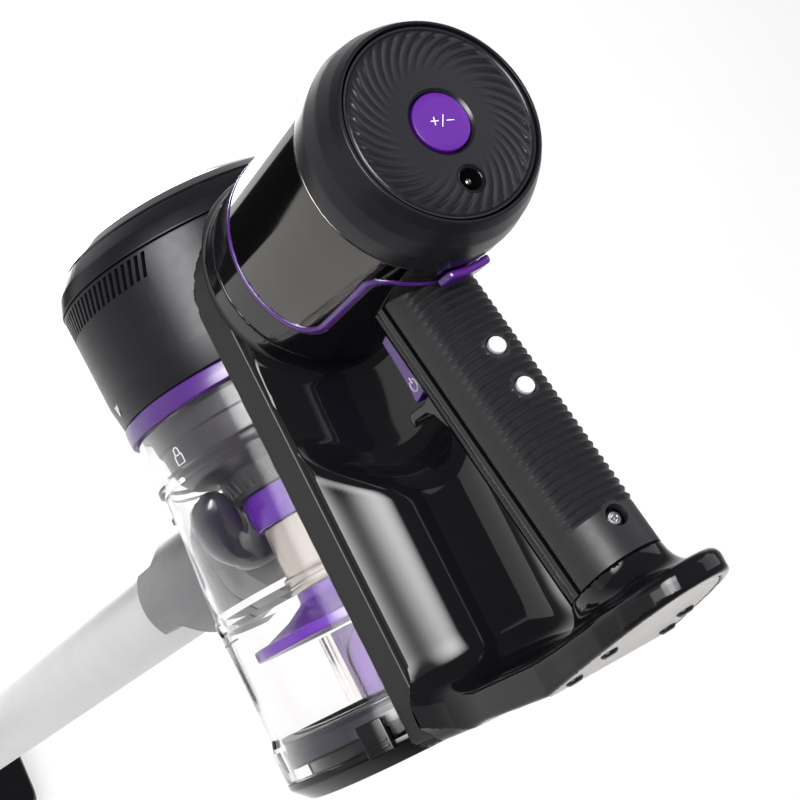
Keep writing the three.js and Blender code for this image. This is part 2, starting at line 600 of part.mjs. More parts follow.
// ---------- floor head ----------
function headNeck() {
  let neck = solid(turnedZ([
    [9, above(40)], [NECK.r - 2, above(40)], [NECK.r, above(60)], [NECK.r, above(95)], [NECK.r + 2, NECK.top],
    [11.6, NECK.top], [11.6, above(115)], [9, above(115)],
  ], WAND.y, ROUND));
  neck = neck.add(solid(turnedX(rodProfile(13.4, -15, 15), WAND.y, NECK.pivotZ, ROUND)));
  return geometryOf(neck.subtract(solid(turnedZ(rodProfile(9, above(15), above(125)), WAND.y, ROUND))));
}
node('head_neck', headNeck(), SATIN_BLACK);

const headY = (offset) => WAND.y + offset;
function headSide() {
  return [
    [HEAD.back + 6, HEAD.low], [HEAD.front - 4, HEAD.low], [HEAD.front, HEAD.low + 4],
    [HEAD.front, HEAD.low + 26], [HEAD.front - 6, HEAD.top - 8], [HEAD.front - 20, HEAD.top + 1],
    [10, HEAD.top], [HEAD.back + 20, HEAD.top - 8], [HEAD.back + 4, HEAD.top - 24], [HEAD.back, HEAD.low + 8],
  ];
}

function pulledX(points, low, high) {
  const body = new THREE.ExtrudeGeometry(shapeOf(points.map(([y, z]) => [-z, y])), {
    depth: high - low, bevelEnabled: false,
  });
  return body.rotateY(Math.PI / 2).translate(low, WAND.y, 0);
}

function headHousing() {
  const c = HEAD.corner;
  const plan = mirrored([
    [HEAD.half - c, HEAD.back - 2], [HEAD.half - 4, HEAD.back + 6], [HEAD.half, HEAD.back + c],
    [HEAD.half, HEAD.front - c], [HEAD.half - 4, HEAD.front - 5], [HEAD.half - c, HEAD.front + 1],
  ]);
  let body = solid(pulledX(headSide(), -HEAD.half, HEAD.half));
  body = body.intersect(solid(pulledZ(plan, above(-35), above(85)).translate(0, WAND.y, 0)));
  const cut = (piece) => { body = body.subtract(solid(piece)); };
  const inside = HEAD.half - HEAD.wall;
  cut(turnedX(rodProfile(BRUSH.r + 2.4, -inside, inside), headY(BRUSH.y), BRUSH.z));
  cut(block(-inside, inside, headY(BRUSH.y - 20), headY(BRUSH.y + 20), above(-15), BRUSH.z));
  cut(block(-17, 17, headY(-80), headY(0), above(23), above(75)));
  cut(turnedX(rodProfile(17, -17, 17), headY(0), NECK.pivotZ));
  cut(block(-17, 17, headY(0), headY(17), NECK.pivotZ, above(75)));
  for (const [from, to] of [[-BAY.far, -BAY.near], [BAY.near, BAY.far]]) {
    cut(block(from, to, headY(-34), headY(8), above(-15), above(50)));
  }
  for (const side of [-1, 1]) {
    const [from, to] = [side * WHEEL.x - WHEEL.half - 1.5, side * WHEEL.x + WHEEL.half + 1.5];
    cut(turnedX(rodProfile(WHEEL.r + 2, from, to), headY(WHEEL.y), WHEEL.z));
  }
  cut(block(BELT.from - 1, BELT.to + 1, headY(0), headY(20), above(14), above(39)));
  cut(pulledX(windowSector(GAP), -WINDOW_HALF - GAP, WINDOW_HALF + GAP));
  return geometryOf(body);
}

function windowSector(grow) {
  const [inner, outer] = [BRUSH.r + 2.6 - grow, BRUSH.r + 14];
  const a = 20 - grow * 0.6;
  const b = 105 + grow * 0.6;
  const bottom = arc(BRUSH.y, BRUSH.z, inner, a, b, 8);
  return [...bottom, ...arc(BRUSH.y, BRUSH.z, outer + grow, b, a, 8)];
}
node('head_housing', headHousing(), GLOSS_BLACK);
node('head_window', geometryOf(solid(pulledX(headSide(), -WINDOW_HALF, WINDOW_HALF))
  .intersect(solid(pulledX(windowSector(0), -WINDOW_HALF, WINDOW_HALF)))), CLEAR);
for (const [name, side] of [['sole_plate_left', -1], ['sole_plate_right', 1]]) {
  const plate = block(BAY.near + 0.4, BAY.far - 0.4, headY(-33.6), headY(7.6), above(6.2), above(8.6));
  node(name, plate.translate(side < 0 ? -BAY.near - BAY.far : 0, 0, 0), SATIN_BLACK);
}

function brushRoll() {
  let roll = solid(turnedX(rodProfile(15, -BRUSH.half + 8, BRUSH.half), headY(BRUSH.y), BRUSH.z));
  roll = roll.add(solid(turnedX(rodProfile(9, -BRUSH.half - 8, -BRUSH.half + 9), headY(BRUSH.y), BRUSH.z)));
  const strips = 4;
  for (let i = 0; i < strips; i += 1) {
    const strip = block(-BRUSH.half + 9, BRUSH.half - 1, -2, 2, 12, BRUSH.r);
    strip.rotateX((i * 2 * Math.PI) / strips + 0.4).translate(0, headY(BRUSH.y), BRUSH.z);
    roll = roll.add(solid(strip));
  }
  return geometryOf(roll);
}
node('brush_roll', brushRoll(), BRISTLE);
node('brush_motor', turnedX([
  [0, BELT.from - 0.5], [3, BELT.from - 0.5], [3, BELT.to + 5], [14, BELT.to + 5], [14, -30], [0, -30],
], headY(MOTOR_AXIS.y), MOTOR_AXIS.z, SMALL), STEEL);

function driveBelt() {
  const wrap = (grow) => [
    ...arc(BRUSH.y, BRUSH.z, 9.3 + grow, -98, 82, 8),
    ...arc(MOTOR_AXIS.y, MOTOR_AXIS.z, 3.3 + grow, 82, 262, 6),
  ];
  const loop = shapeOf(wrap(1.2).map(([y, z]) => [-z, y]));
  loop.holes.push(new THREE.Path(wrap(0).map(([y, z]) => new THREE.Vector2(-z, y))));
  const belt = new THREE.ExtrudeGeometry(loop, { depth: BELT.to - BELT.from, bevelEnabled: false });
  return belt.rotateY(Math.PI / 2).translate(BELT.from, WAND.y, 0);
}
node('drive_belt', driveBelt(), RUBBER);
for (const [name, side] of [['wheel_left', -1], ['wheel_right', 1]]) {
  node(name, turnedX([
    [0, -WHEEL.half - 1.2], [3, -WHEEL.half - 1.2], [3, -WHEEL.half], [WHEEL.r - 1.5, -WHEEL.half],
    [WHEEL.r, -WHEEL.half + 1.5], [WHEEL.r, WHEEL.half - 1.5], [WHEEL.r - 1.5, WHEEL.half], [3, WHEEL.half],
    [3, WHEEL.half + 1.2], [0, WHEEL.half + 1.2],
  ], headY(WHEEL.y), WHEEL.z, 16).translate(side * WHEEL.x, 0, 0), RUBBER);
}

export default unit;
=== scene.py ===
# The looks of the cordless stick vacuum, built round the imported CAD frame.
# Shapes are worked out in millimetres in the hand unit's own axes: the origin is on the bin's axis
# (along Y) where the housing meets the purple ring, +Z is up the wand and +X is the user's right.
import math

import bmesh
import bpy
import numpy as np
from mathutils import Matrix, Vector


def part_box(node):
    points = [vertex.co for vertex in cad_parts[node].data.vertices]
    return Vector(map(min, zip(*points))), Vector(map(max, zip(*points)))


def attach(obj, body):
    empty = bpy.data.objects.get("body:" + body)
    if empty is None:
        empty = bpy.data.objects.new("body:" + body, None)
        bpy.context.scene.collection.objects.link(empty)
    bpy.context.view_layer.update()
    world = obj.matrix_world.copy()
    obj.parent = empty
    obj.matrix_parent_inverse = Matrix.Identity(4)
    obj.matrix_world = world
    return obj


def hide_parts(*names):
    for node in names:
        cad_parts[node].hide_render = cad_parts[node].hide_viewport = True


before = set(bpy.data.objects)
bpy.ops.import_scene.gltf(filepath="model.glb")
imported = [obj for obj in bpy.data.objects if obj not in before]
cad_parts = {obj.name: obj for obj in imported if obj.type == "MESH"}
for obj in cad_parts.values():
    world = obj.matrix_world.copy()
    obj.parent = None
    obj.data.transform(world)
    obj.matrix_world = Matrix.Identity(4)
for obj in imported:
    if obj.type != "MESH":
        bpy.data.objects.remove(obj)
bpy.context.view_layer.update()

MM = 0.001
GAP = 0.3  # left between pieces that meet
SHARP_ANGLE = math.radians(34)
GRIP_SHARP_ANGLE = math.radians(40)

ring_low, ring_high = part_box("lock_ring")
ORIGIN = np.array([0.0, ring_high.y + GAP * MM, (ring_low.z + ring_high.z) / 2])


def to_part(points):
    return np.asarray(points, float) * MM + ORIGIN


def unit_box(node):
    low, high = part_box(node)
    return (np.array(low) - ORIGIN) / MM, (np.array(high) - ORIGIN) / MM


# ---------- sizes, from the frame ----------
barrel_low, barrel_high = unit_box("rear_bezel")
MOTOR_Y = (barrel_low[1] + barrel_high[1]) / 2
MOTOR_R = 32.5
BEZEL_Z = barrel_low[2]
REAR_Z = barrel_high[2]
COLLAR_Z = unit_box("motor_collar")[0][2]
grille_low, grille_high = unit_box("rear_grille")
DISC_R = (grille_high[0] - grille_low[0]) / 2
body_low, body_high = unit_box("main_body")
BODY_HALF, BODY_LOW = body_high[0], body_low[1]
BIN_CLEAR_R = 54.4
RING_LOW_Y = unit_box("lock_ring")[0][1]
DOME_SEAM = unit_box("dome_cap")[0][1]
CUP_LOW = unit_box("dust_cup")[0][1]
LID_LOW = unit_box("bin_lid")[0][1]
tube_low, tube_high = unit_box("wand_tube")
WAND_Y = (tube_low[1] + tube_high[1]) / 2
WAND_R = (tube_high[0] - tube_low[0]) / 2
WAND_LOW, WAND_TOP = tube_low[2], tube_high[2]
COUPLING_LOW = unit_box("wand_coupling")[0][2]
FLOOR_Z = unit_box("wheel_left")[0][2]
TRIM_Z, TRIM_REAR_Z, TRIM_HALF, TRIM_CORNER = 80.5, 126.0, 20.6, 6.0
HANDLE_Z, HANDLE_TILT = 121.0, math.radians(13.8)
HANDLE_HALF, HANDLE_DEPTH, HANDLE_POWER = 12.8, 32.6, 0.9
GRIP_LOW, GRIP_TOP = -109.0, -9.0
GRIP_WALL = 2.4
LENS_ALONG = (-43.5, -57.0)
SCREW_ALONG = -98.9
BASE_Y, BASE_Z, BASE_TILT = -130.3, 110.0, math.radians(10.6)
LID_TURN = math.radians(47)


# ---------- meshes ----------
def turn_about_x(points, angle):
    p = np.asarray(points, float)
    c, s = math.cos(angle), math.sin(angle)
    return np.stack([p[..., 0], c * p[..., 1] - s * p[..., 2], s * p[..., 1] + c * p[..., 2]], -1)


def turn_about_y(points, angle):
    p = np.asarray(points, float)
    c, s = math.cos(angle), math.sin(angle)
    return np.stack([c * p[..., 0] + s * p[..., 2], p[..., 1], c * p[..., 2] - s * p[..., 0]], -1)


def on_handle(points):
    return turn_about_x(points, -HANDLE_TILT) + (0, 0, HANDLE_Z)


def on_base(points):
    return turn_about_x(points, -BASE_TILT) + (0, BASE_Y, BASE_Z)


def on_lid(points):
    return turn_about_y(points, -LID_TURN)


def placed(place, mesh_data):
    """A mesh moved by one of the functions above."""
    points, faces = mesh_data
    return place(points), faces


def mirrored(half):
    """An outline that is the same on both sides, from its right half."""
    return half + [(-p[0], *p[1:]) for p in reversed(half)]


def along_axis(axis, a, b, h):
    """Points from two coordinates across an axis and one along it."""
    return np.stack({"X": (h, a, b), "Y": (a, h, b), "Z": (a, b, h)}[axis], -1)


def ring_faces(rings, segments, closed):
    """Faces between rings of points, and from the last ring back to the first if it is closed."""
    faces = []
    for i in range(rings if closed else rings - 1):
        j = (i + 1) % rings
        for k in range(segments):
            m = (k + 1) % segments
            faces.append((i * segments + k, j * segments + k, j * segments + m, i * segments + m))
    return faces


def joined(parts):
    """Several meshes as one."""
    points, faces, start = [], [], 0
    for part_points, part_faces in parts:
        points.append(np.asarray(part_points, float))
        faces += [tuple(int(i) + start for i in face) for face in part_faces]
        start += len(part_points)
    return np.concatenate(points), faces


def new_mesh(name, mesh_data):
    points, faces = mesh_data
    mesh = bpy.data.meshes.new(name)
    mesh.from_pydata(to_part(points).tolist(), [], [tuple(int(i) for i in f) for f in faces])
    return mesh


def clean_mesh(mesh, merge):
    """Joins points that are closer than merge and turns all faces outwards."""
    shape = bmesh.new()
    shape.from_mesh(mesh)
    bmesh.ops.remove_doubles(shape, verts=shape.verts, dist=merge)
    bmesh.ops.recalc_face_normals(shape, faces=shape.faces)
    shape.to_mesh(mesh)
    shape.free()


def make_piece(name, mesh_data, material, body, node=None, normals=None):
    """One visible piece from points in millimetres, riding on a body and standing for CAD nodes."""
    mesh = new_mesh(name, mesh_data)
    if normals is None:
        clean_mesh(mesh, merge=1e-6)
    mesh.shade_smooth()
    if normals is None:
        mesh.set_sharp_from_angle(angle=SHARP_ANGLE)
    else:
        mesh.normals_split_custom_set_from_vertices(normals.tolist())
    mesh.materials.append(material)
    obj = bpy.data.objects.new(name, mesh)
    bpy.context.scene.collection.objects.link(obj)
    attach(obj, body)
    if node:
        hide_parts(*([node] if isinstance(node, str) else node))
    return obj


def cut(obj, mesh_data):
    """Cuts a shape out of a piece and keeps the result as plain mesh."""
    mesh = new_mesh("cutter", mesh_data)
    clean_mesh(mesh, merge=1e-7)
    cutter = bpy.data.objects.new("cutter", mesh)
    bpy.context.scene.collection.objects.link(cutter)
    boolean = obj.modifiers.new("cut", "BOOLEAN")
    boolean.operation = "DIFFERENCE"
    boolean.solver = "EXACT"
    boolean.object = cutter
    bpy.context.view_layer.update()
    graph = bpy.context.evaluated_depsgraph_get()
    result = bpy.data.meshes.new_from_object(obj.evaluated_get(graph))
    obj.modifiers.clear()
    obj.data = result
    bpy.data.objects.remove(cutter, do_unlink=True)


def rounded(points, radius, closed=False, steps=4):
    """A polyline with its corners rounded. A point may carry its own radius as a third number."""
    result = []
    count = len(points)
    for i, point in enumerate(points):
        here = np.array(point[:2], float)
        r = point[2] if len(point) > 2 else radius
        if (not closed and i in (0, count - 1)) or r == 0:
            result.append(here)
            continue
        before = np.array(points[i - 1][:2], float) - here
        after = np.array(points[(i + 1) % count][:2], float) - here
        a, b = np.linalg.norm(before), np.linalg.norm(after)
        before, after = before / a, after / b
        half = math.acos(max(-1.0, min(1.0, float(before @ after)))) / 2
        if half > math.pi / 2 - 0.02:
            result.append(here)
            continue
        reach = min(r / math.tan(half), 0.45 * a, 0.45 * b)
        start, end = here + before * reach, here + after * reach
        for k in range(steps + 1):
            t = k / steps
            result.append((1 - t) ** 2 * start + 2 * t * (1 - t) * here + t * t * end)
    return [tuple(map(float, p)) for p in result]


def turned(profile, axis="Y", centre=(0, 0, 0), segments=128):
    """A body turned from a profile of (radius, height), open on the axis or closed on itself."""
    profile = list(profile)
    on_axis = abs(profile[0][0]) < 1e-9 and abs(profile[-1][0]) < 1e-9
    rings = len(profile)
    angle = np.arange(segments) * 2 * math.pi / segments
    r = np.array([p[0] for p in profile])[:, None]
    h = np.broadcast_to(np.array([p[1] for p in profile])[:, None], (rings, segments))
    points = along_axis(axis, r * np.cos(angle), r * np.sin(angle), h).reshape(-1, 3)
    return points + np.array(centre, float), ring_faces(rings, segments, closed=not on_axis)


def tube_wall(inner, outer, low, high):
    """The profile of a plain tube, for turned()."""
    return [(inner, low), (outer, low), (outer, high), (inner, high)]


def lofted(sections, caps=True):
    """A closed skin through rings of points that all have the same count."""
    rings, around = len(sections), len(sections[0])
    points = np.concatenate([np.asarray(s, float) for s in sections])
    faces = []
    for i in range(rings - 1):
        for k in range(around):
            m = (k + 1) % around
            faces.append((i * around + k, i * around + m, (i + 1) * around + m, (i + 1) * around + k))
    if caps:
        faces.append(tuple(range(around)))
        faces.append(tuple(reversed(range((rings - 1) * around, rings * around))))
    return points, faces


def pulled(outline, low, high, bevel=0.3, axis="Y"):
    """An outline pulled along an axis, with small rounded edges at both ends."""
    outline = np.asarray(outline, float)
    middle = outline.mean(0)
    quarter = [math.radians(a) for a in (0, 30, 60, 90)]
    layers = [(bevel * (1 - math.sin(a)), low + bevel * (1 - math.cos(a))) for a in quarter]
    layers += [(inset, high - (h - low)) for inset, h in reversed(layers)]
    sections = []
    span = np.linalg.norm(outline - middle, axis=1).mean()
    for inset, h in layers:
        flat = middle + (outline - middle) * (1 - inset / span)
        sections.append(along_axis(axis, flat[:, 0], flat[:, 1], np.full(len(flat), h)))
    return lofted(sections)


# ---------- smooth shapes from formulas ----------
def smooth_min(a, b, k):
    h = np.maximum(k - np.abs(a - b), 0) / k
    return np.minimum(a, b) - h * h * k / 4


def edge(a, b, r):
    """The overlap of two regions, with the edge between them rounded."""
    return np.minimum(np.maximum(a, b), -r) + np.hypot(np.maximum(a + r, 0), np.maximum(b + r, 0))


def polygon_distance(outline):
    """A formula for the signed distance to a closed outline of (u, v) points, negative inside."""
    corners = np.asarray(outline, float)

    def formula(u, v):
        nearest = np.full(np.shape(v), 1e9)
        sign = np.ones(np.shape(v))
        for a, b in zip(corners, np.roll(corners, 1, axis=0)):
            side = b - a
            du, dv = u - a[0], v - a[1]
            t = np.clip((du * side[0] + dv * side[1]) / (side @ side), 0, 1)
            nearest = np.minimum(nearest, (du - side[0] * t) ** 2 + (dv - side[1] * t) ** 2)
            above, below, left = v >= a[1], v < b[1], (side[0] * dv - side[1] * du) > 0
            sign = np.where((above & below & left) | (~above & ~below & ~left), -sign, sign)
        return sign * np.sqrt(nearest)

    return formula


def side_solid(outline, half_width, r):
    """A formula for a side outline of (y, z) points, pulled across X, with rounded edges."""
    flat = polygon_distance(outline)

    def formula(x, y, z):
        return edge(flat(y, z), np.abs(x) - half_width, r)

    return formula


def crossed_cells(value):
    """The cells of a grid of values that the zero surface crosses, and a point in each of them."""
    inside = value < 0
    shape = np.array(value.shape) - 1
    corners = [(i, j, k) for i in (0, 1) for j in (0, 1) for k in (0, 1)]

    def part(array, offset):
        i, j, k = offset
        return array[i:i + shape[0], j:j + shape[1], k:k + shape[2]]

    count = sum(part(inside, corner).astype(int) for corner in corners)
    active = (count > 0) & (count < 8)
    where = np.argwhere(active)
    total = np.zeros((len(where), 3))
    hits = np.zeros(len(where))
    for a in corners:
        for d in range(3):
            if a[d]:
                continue
            b = tuple(a[e] + (e == d) for e in range(3))
            va, vb = part(value, a)[active], part(value, b)[active]
            cross = (va < 0) != (vb < 0)
            t = np.where(cross, va / np.where(va == vb, 1, va - vb), 0)
            spot = np.array(a, float)[None] + t[:, None] * (np.array(b) - np.array(a))[None]
            total[cross] += spot[cross]
            hits += cross
    return active, where + total / hits[:, None]


def crossed_faces(value, active):
    """One face between four crossed cells for every grid line that runs through the surface."""
    inside = value < 0
    index = -np.ones(active.shape, int)
    index[active] = np.arange(active.sum())
    faces = []
    for d in range(3):
        e, g = (d + 1) % 3, (d + 2) % 3
        near = [slice(1, -1)] * 3
        near[d] = slice(0, -1)
        far = list(near)
        far[d] = slice(1, None)
        change = inside[tuple(near)] != inside[tuple(far)]
        flip = inside[tuple(near)][change]
        cells = np.argwhere(change)
        cells[:, e] += 1
        cells[:, g] += 1
        step_e, step_g = np.eye(3, dtype=int)[e], np.eye(3, dtype=int)[g]
        around = [cells - step_e - step_g, cells - step_g, cells, cells - step_e]
        quad = np.stack([index[tuple(c.T)] for c in around], 1)
        quad[~flip] = quad[~flip][:, ::-1]
        faces.append(quad)
    return np.concatenate(faces)


SLOPE_STEP = 0.02
SETTLE_ROUNDS = 4


def settled(points, formula, cell):
    """Points moved onto the zero surface, with its normals there."""
    normals = None
    h = SLOPE_STEP
    for _ in range(SETTLE_ROUNDS):
        x, y, z = points.T
        here = formula(x, y, z)
        slope = np.stack([
            formula(x + h, y, z) - formula(x - h, y, z),
            formula(x, y + h, z) - formula(x, y - h, z),
            formula(x, y, z + h) - formula(x, y, z - h),
        ], 1) / (2 * h)
        size = np.maximum((slope ** 2).sum(1), 0.05)
        move = -here[:, None] * slope / size[:, None]
        length = np.linalg.norm(move, axis=1, keepdims=True)
        points = points + move * np.minimum(1, 0.5 * cell / np.maximum(length, 1e-9))
        normals = slope / np.maximum(np.linalg.norm(slope, axis=1, keepdims=True), 1e-9)
    return points, normals


def skin(formula, low, high, cell):
    """The surface where a formula is zero, as points, faces and normals. It is negative inside."""
    axes = [np.arange(a, b + cell, cell) for a, b in zip(low, high)]
    value = formula(*np.meshgrid(*axes, indexing="ij"))
    active, spots = crossed_cells(value)
    corner = np.array([a[0] for a in axes])
    points, normals = settled(spots * cell + corner, formula, cell)
    return (points, crossed_faces(value, active)), normals


def moulded(name, formula, low, high, cell, material, body, node=None, place=None):
    """A smooth moulded piece from a formula, in its own axes, put in place by a function."""
    (points, faces), normals = skin(formula, low, high, cell)
    if place:
        normals = place(normals) - place(np.zeros((1, 3)))
        points = place(points)
    return make_piece(name, (points, faces), material, body, node, normals=normals)


# ---------- materials ----------
NOISE_LOW, NOISE_HIGH = 0.3, 0.7
TONE_LOW, TONE_HIGH = 0.32, 0.68
GRAIN_DEPTH = 0.0001
COAT_ROUGHNESS = 0.04


def link(tree, source, output, target, entry):
    tree.links.new(source.outputs[output], target.inputs[entry])


def noise_node(tree, scale, detail):
    """Noise in the object's own metres."""
    place = tree.nodes.new("ShaderNodeTexCoord")
    noise = tree.nodes.new("ShaderNodeTexNoise")
    noise.inputs["Scale"].default_value = scale
    noise.inputs["Detail"].default_value = detail
    link(tree, place, "Object", noise, "Vector")
    return noise


def spread(tree, source, low, high):
    """Noise mapped to a range of values."""
    node = tree.nodes.new("ShaderNodeMapRange")
    node.inputs["From Min"].default_value = NOISE_LOW
    node.inputs["From Max"].default_value = NOISE_HIGH
    node.inputs["To Min"].default_value = low
    node.inputs["To Max"].default_value = high
    link(tree, source, "Fac", node, "Value")
    return node


def new_material(name):
    material = bpy.data.materials.new(name)
    material.use_nodes = True
    return material, material.node_tree, material.node_tree.nodes["Principled BSDF"]


def finish_material(name, color, roughness, metallic=0.0, tone=0.05, smudge=45, grain=0.0,
                    grain_scale=2600, shine=0.0, **extra):
    """A moulded or metal finish: mottled colour, uneven gloss and a fine surface grain."""
    material, tree, shader = new_material(name)
    cloud = noise_node(tree, smudge, 4.0)
    ramp = tree.nodes.new("ShaderNodeValToRGB")
    dark, bright = ramp.color_ramp.elements
    dark.position, bright.position = TONE_LOW, TONE_HIGH
    dark.color = (*[c * (1 - tone) for c in color], 1)
    bright.color = (*[min(1, c * (1 + tone)) for c in color], 1)
    link(tree, cloud, "Fac", ramp, "Fac")
    link(tree, ramp, "Color", shader, "Base Color")
    uneven = noise_node(tree, smudge * 7, 3.0)
    gloss = spread(tree, uneven, roughness * 0.92, roughness * 1.1)
    link(tree, gloss, "Result", shader, "Roughness")
    if grain:
        fine = noise_node(tree, grain_scale, 2.0)
        bump = tree.nodes.new("ShaderNodeBump")
        bump.inputs["Strength"].default_value = grain
        bump.inputs["Distance"].default_value = GRAIN_DEPTH
        link(tree, fine, "Fac", bump, "Height")
        link(tree, bump, "Normal", shader, "Normal")
    shader.inputs["Metallic"].default_value = metallic
    shader.inputs["Coat Weight"].default_value = shine
    shader.inputs["Coat Roughness"].default_value = COAT_ROUGHNESS
    for key, value in extra.items():
        shader.inputs[key.replace("_", " ")].default_value = value
    return material


def clear_material(name, color, roughness, ior, passes):
    """Clear or tinted plastic: it bends and mirrors light, and lets lamps shine through."""
    material, tree, shader = new_material(name)
    shader.inputs["Base Color"].default_value = (*color, 1)
    shader.inputs["Transmission Weight"].default_value = 1.0
    shader.inputs["IOR"].default_value = ior
    haze = noise_node(tree, 60, 3.0)
    gloss = spread(tree, haze, roughness * 0.6, roughness * 1.5)
    link(tree, gloss, "Result", shader, "Roughness")
    open_shader = tree.nodes.new("ShaderNodeBsdfTransparent")
    open_shader.inputs["Color"].default_value = (*passes, 1)
    path = tree.nodes.new("ShaderNodeLightPath")
    mix = tree.nodes.new("ShaderNodeMixShader")
    link(tree, path, "Is Shadow Ray", mix, "Fac")
    link(tree, shader, "BSDF", mix, 1)
    link(tree, open_shader, "BSDF", mix, 2)
    link(tree, mix, "Shader", tree.nodes["Material Output"], "Surface")
    return material


GLOSS = finish_material("gloss_black", (0.0055, 0.0055, 0.007), 0.07, grain=0.015, grain_scale=900, IOR=1.36)
FLANGE = finish_material("flange_black", (0.011, 0.011, 0.0098), 0.38, grain=0.08, IOR=1.4)
SATIN = finish_material("satin_black", (0.0078, 0.0078, 0.0108), 0.28, grain=0.1, IOR=1.4)
SATIN_SOFT = finish_material("housing_black", (0.0085, 0.008, 0.0115), 0.3, grain=0.06, grain_scale=1800,
                             IOR=1.3)
RUBBER = finish_material("grip_rubber", (0.0115, 0.0115, 0.0135), 0.46, grain=0.25, grain_scale=2200, IOR=1.4)
TYRE = finish_material("tyre_rubber", (0.02, 0.02, 0.021), 0.7, grain=0.4)
SEAL = finish_material("seal_rubber", (0.004, 0.004, 0.009), 0.3, grain=0.1)
GUNMETAL = finish_material("gunmetal", (0.082, 0.077, 0.071), 0.06, metallic=1.0, tone=0.04, grain=0.01,
                           grain_scale=500)
PURPLE = finish_material("purple", (0.078, 0.0095, 0.205), 0.24, tone=0.06, grain=0.04, shine=0.15)
PURPLE_SATIN = finish_material("purple_satin", (0.078, 0.0065, 0.215), 0.4, tone=0.04, grain=0.05, IOR=1.35)
VIOLET = finish_material("violet_inside", (0.05, 0.0075, 0.155), 0.2, tone=0.1, grain=0.03)
MAUVE = finish_material("mauve_inside", (0.095, 0.03, 0.2), 0.25, tone=0.08, grain=0.03)
SHROUD = finish_material("shroud_grey", (0.013, 0.0125, 0.016), 0.3, tone=0.08, grain=0.05)
TUBE = finish_material("tube_grey", (0.33, 0.3, 0.28), 0.22, metallic=0.5, tone=0.06, grain=0.04)
DUCT = finish_material("duct_dark", (0.006, 0.006, 0.013), 0.12, tone=0.08, grain=0.03)
PLATE_GREY = finish_material("plate_grey", (0.78, 0.75, 0.725), 0.5, tone=0.03, grain=0.2)
COUPLING_GREY = finish_material("coupling_grey", (0.125, 0.127, 0.133), 0.33, tone=0.05, grain=0.1)
SILVER = finish_material("wand_silver", (0.66, 0.655, 0.66), 0.32, metallic=0.35, tone=0.02, grain=0.06)
STEEL = finish_material("steel", (0.55, 0.55, 0.57), 0.28, metallic=1.0, tone=0.06, grain=0.1)
LENS = finish_material("lens_white", (0.6, 0.6, 0.63), 0.35, tone=0.08, smudge=1500, grain=0.6,
                       grain_scale=1500)
MARK_WHITE = finish_material("mark_white", (0.82, 0.82, 0.84), 0.4, tone=0.02, grain=0.05)
MARK_GREY = finish_material("mark_grey", (0.2, 0.2, 0.21), 0.4, tone=0.02, grain=0.05)
CELL = finish_material("cell_wrap", (0.03, 0.12, 0.27), 0.3, tone=0.1, grain=0.1)
BOARD = finish_material("board_green", (0.02, 0.11, 0.045), 0.35, tone=0.2, smudge=300)
FILTER = finish_material("filter_paper", (0.72, 0.71, 0.67), 0.9, tone=0.08, grain=0.6)
BRISTLE = finish_material("bristle", (0.11, 0.04, 0.24), 0.75, tone=0.3, smudge=200, grain=0.6)
CLEAR = clear_material("clear_plastic", (0.975, 0.965, 0.96), 0.02, 1.22, (0.88, 0.87, 0.87))
SMOKE = clear_material("smoky_plastic", (0.35, 0.34, 0.37), 0.06, 1.3, (0.4, 0.4, 0.42))


# ---------- stage, light and camera ----------
def look_at(obj, place, target):
    back = (Vector(place) - Vector(target)).normalized()
    obj.matrix_world = Matrix.Translation(place) @ back.to_track_quat("Z", "Y").to_matrix().to_4x4()


def stage_sheet(name, low, high, z, material):
    """A level sheet of the stage between two corners, in metres."""
    mesh = bpy.data.meshes.new(name)
    corners = [(low[0], low[1], z), (high[0], low[1], z), (high[0], high[1], z), (low[0], high[1], z)]
    mesh.from_pydata(corners, [], [(0, 1, 2, 3)])
    mesh.materials.append(material)
    sheet = bpy.data.objects.new(name, mesh)
    bpy.context.scene.collection.objects.link(sheet)
    return sheet


FLOOR_SIZE = 14.0
SKY_STRENGTH = 0.14


def make_stage():
    white = finish_material("floor_white", (0.9, 0.9, 0.905), 0.6, tone=0.01, smudge=3)
    floor_z = float(to_part((0, 0, FLOOR_Z))[2])
    stage_sheet("floor", (-FLOOR_SIZE, -FLOOR_SIZE), (FLOOR_SIZE, FLOOR_SIZE), floor_z, white)
    world = bpy.data.worlds.new("studio")
    bpy.context.scene.world = world
    world.use_nodes = True
    sky = world.node_tree.nodes["Background"]
    sky.inputs["Color"].default_value = (1, 1, 1, 1)
    sky.inputs["Strength"].default_value = SKY_STRENGTH


def math_node(tree, operation, *values):
    """A sum or product of plain numbers and other nodes' outputs."""
    node = tree.nodes.new("ShaderNodeMath")
    node.operation = operation
    for entry, value in zip(node.inputs, values):
        if isinstance(value, float):
            entry.default_value = value
        else:
            tree.links.new(value, entry)
    return node.outputs[0]


def fade_edges(light):
    """Fades a lamp's face from its middle towards its edges, as a diffuser does."""
    light.use_nodes = True
    tree = light.node_tree
    place = tree.nodes.new("ShaderNodeNewGeometry")
    split = tree.nodes.new("ShaderNodeSeparateXYZ")
    link(tree, place, "Parametric", split, "Vector")
    arches = []
    for run in (split.outputs["X"], split.outputs["Y"]):
        rest = math_node(tree, "SUBTRACT", 1.0, run)
        arches.append(math_node(tree, "MULTIPLY", run, rest))
    both = math_node(tree, "MULTIPLY", *arches)
    middle_is_one = math_node(tree, "MULTIPLY", both, 16.0)
    tree.links.new(middle_is_one, tree.nodes["Emission"].inputs["Strength"])


LIGHT_TARGET = (0, -40, 60)


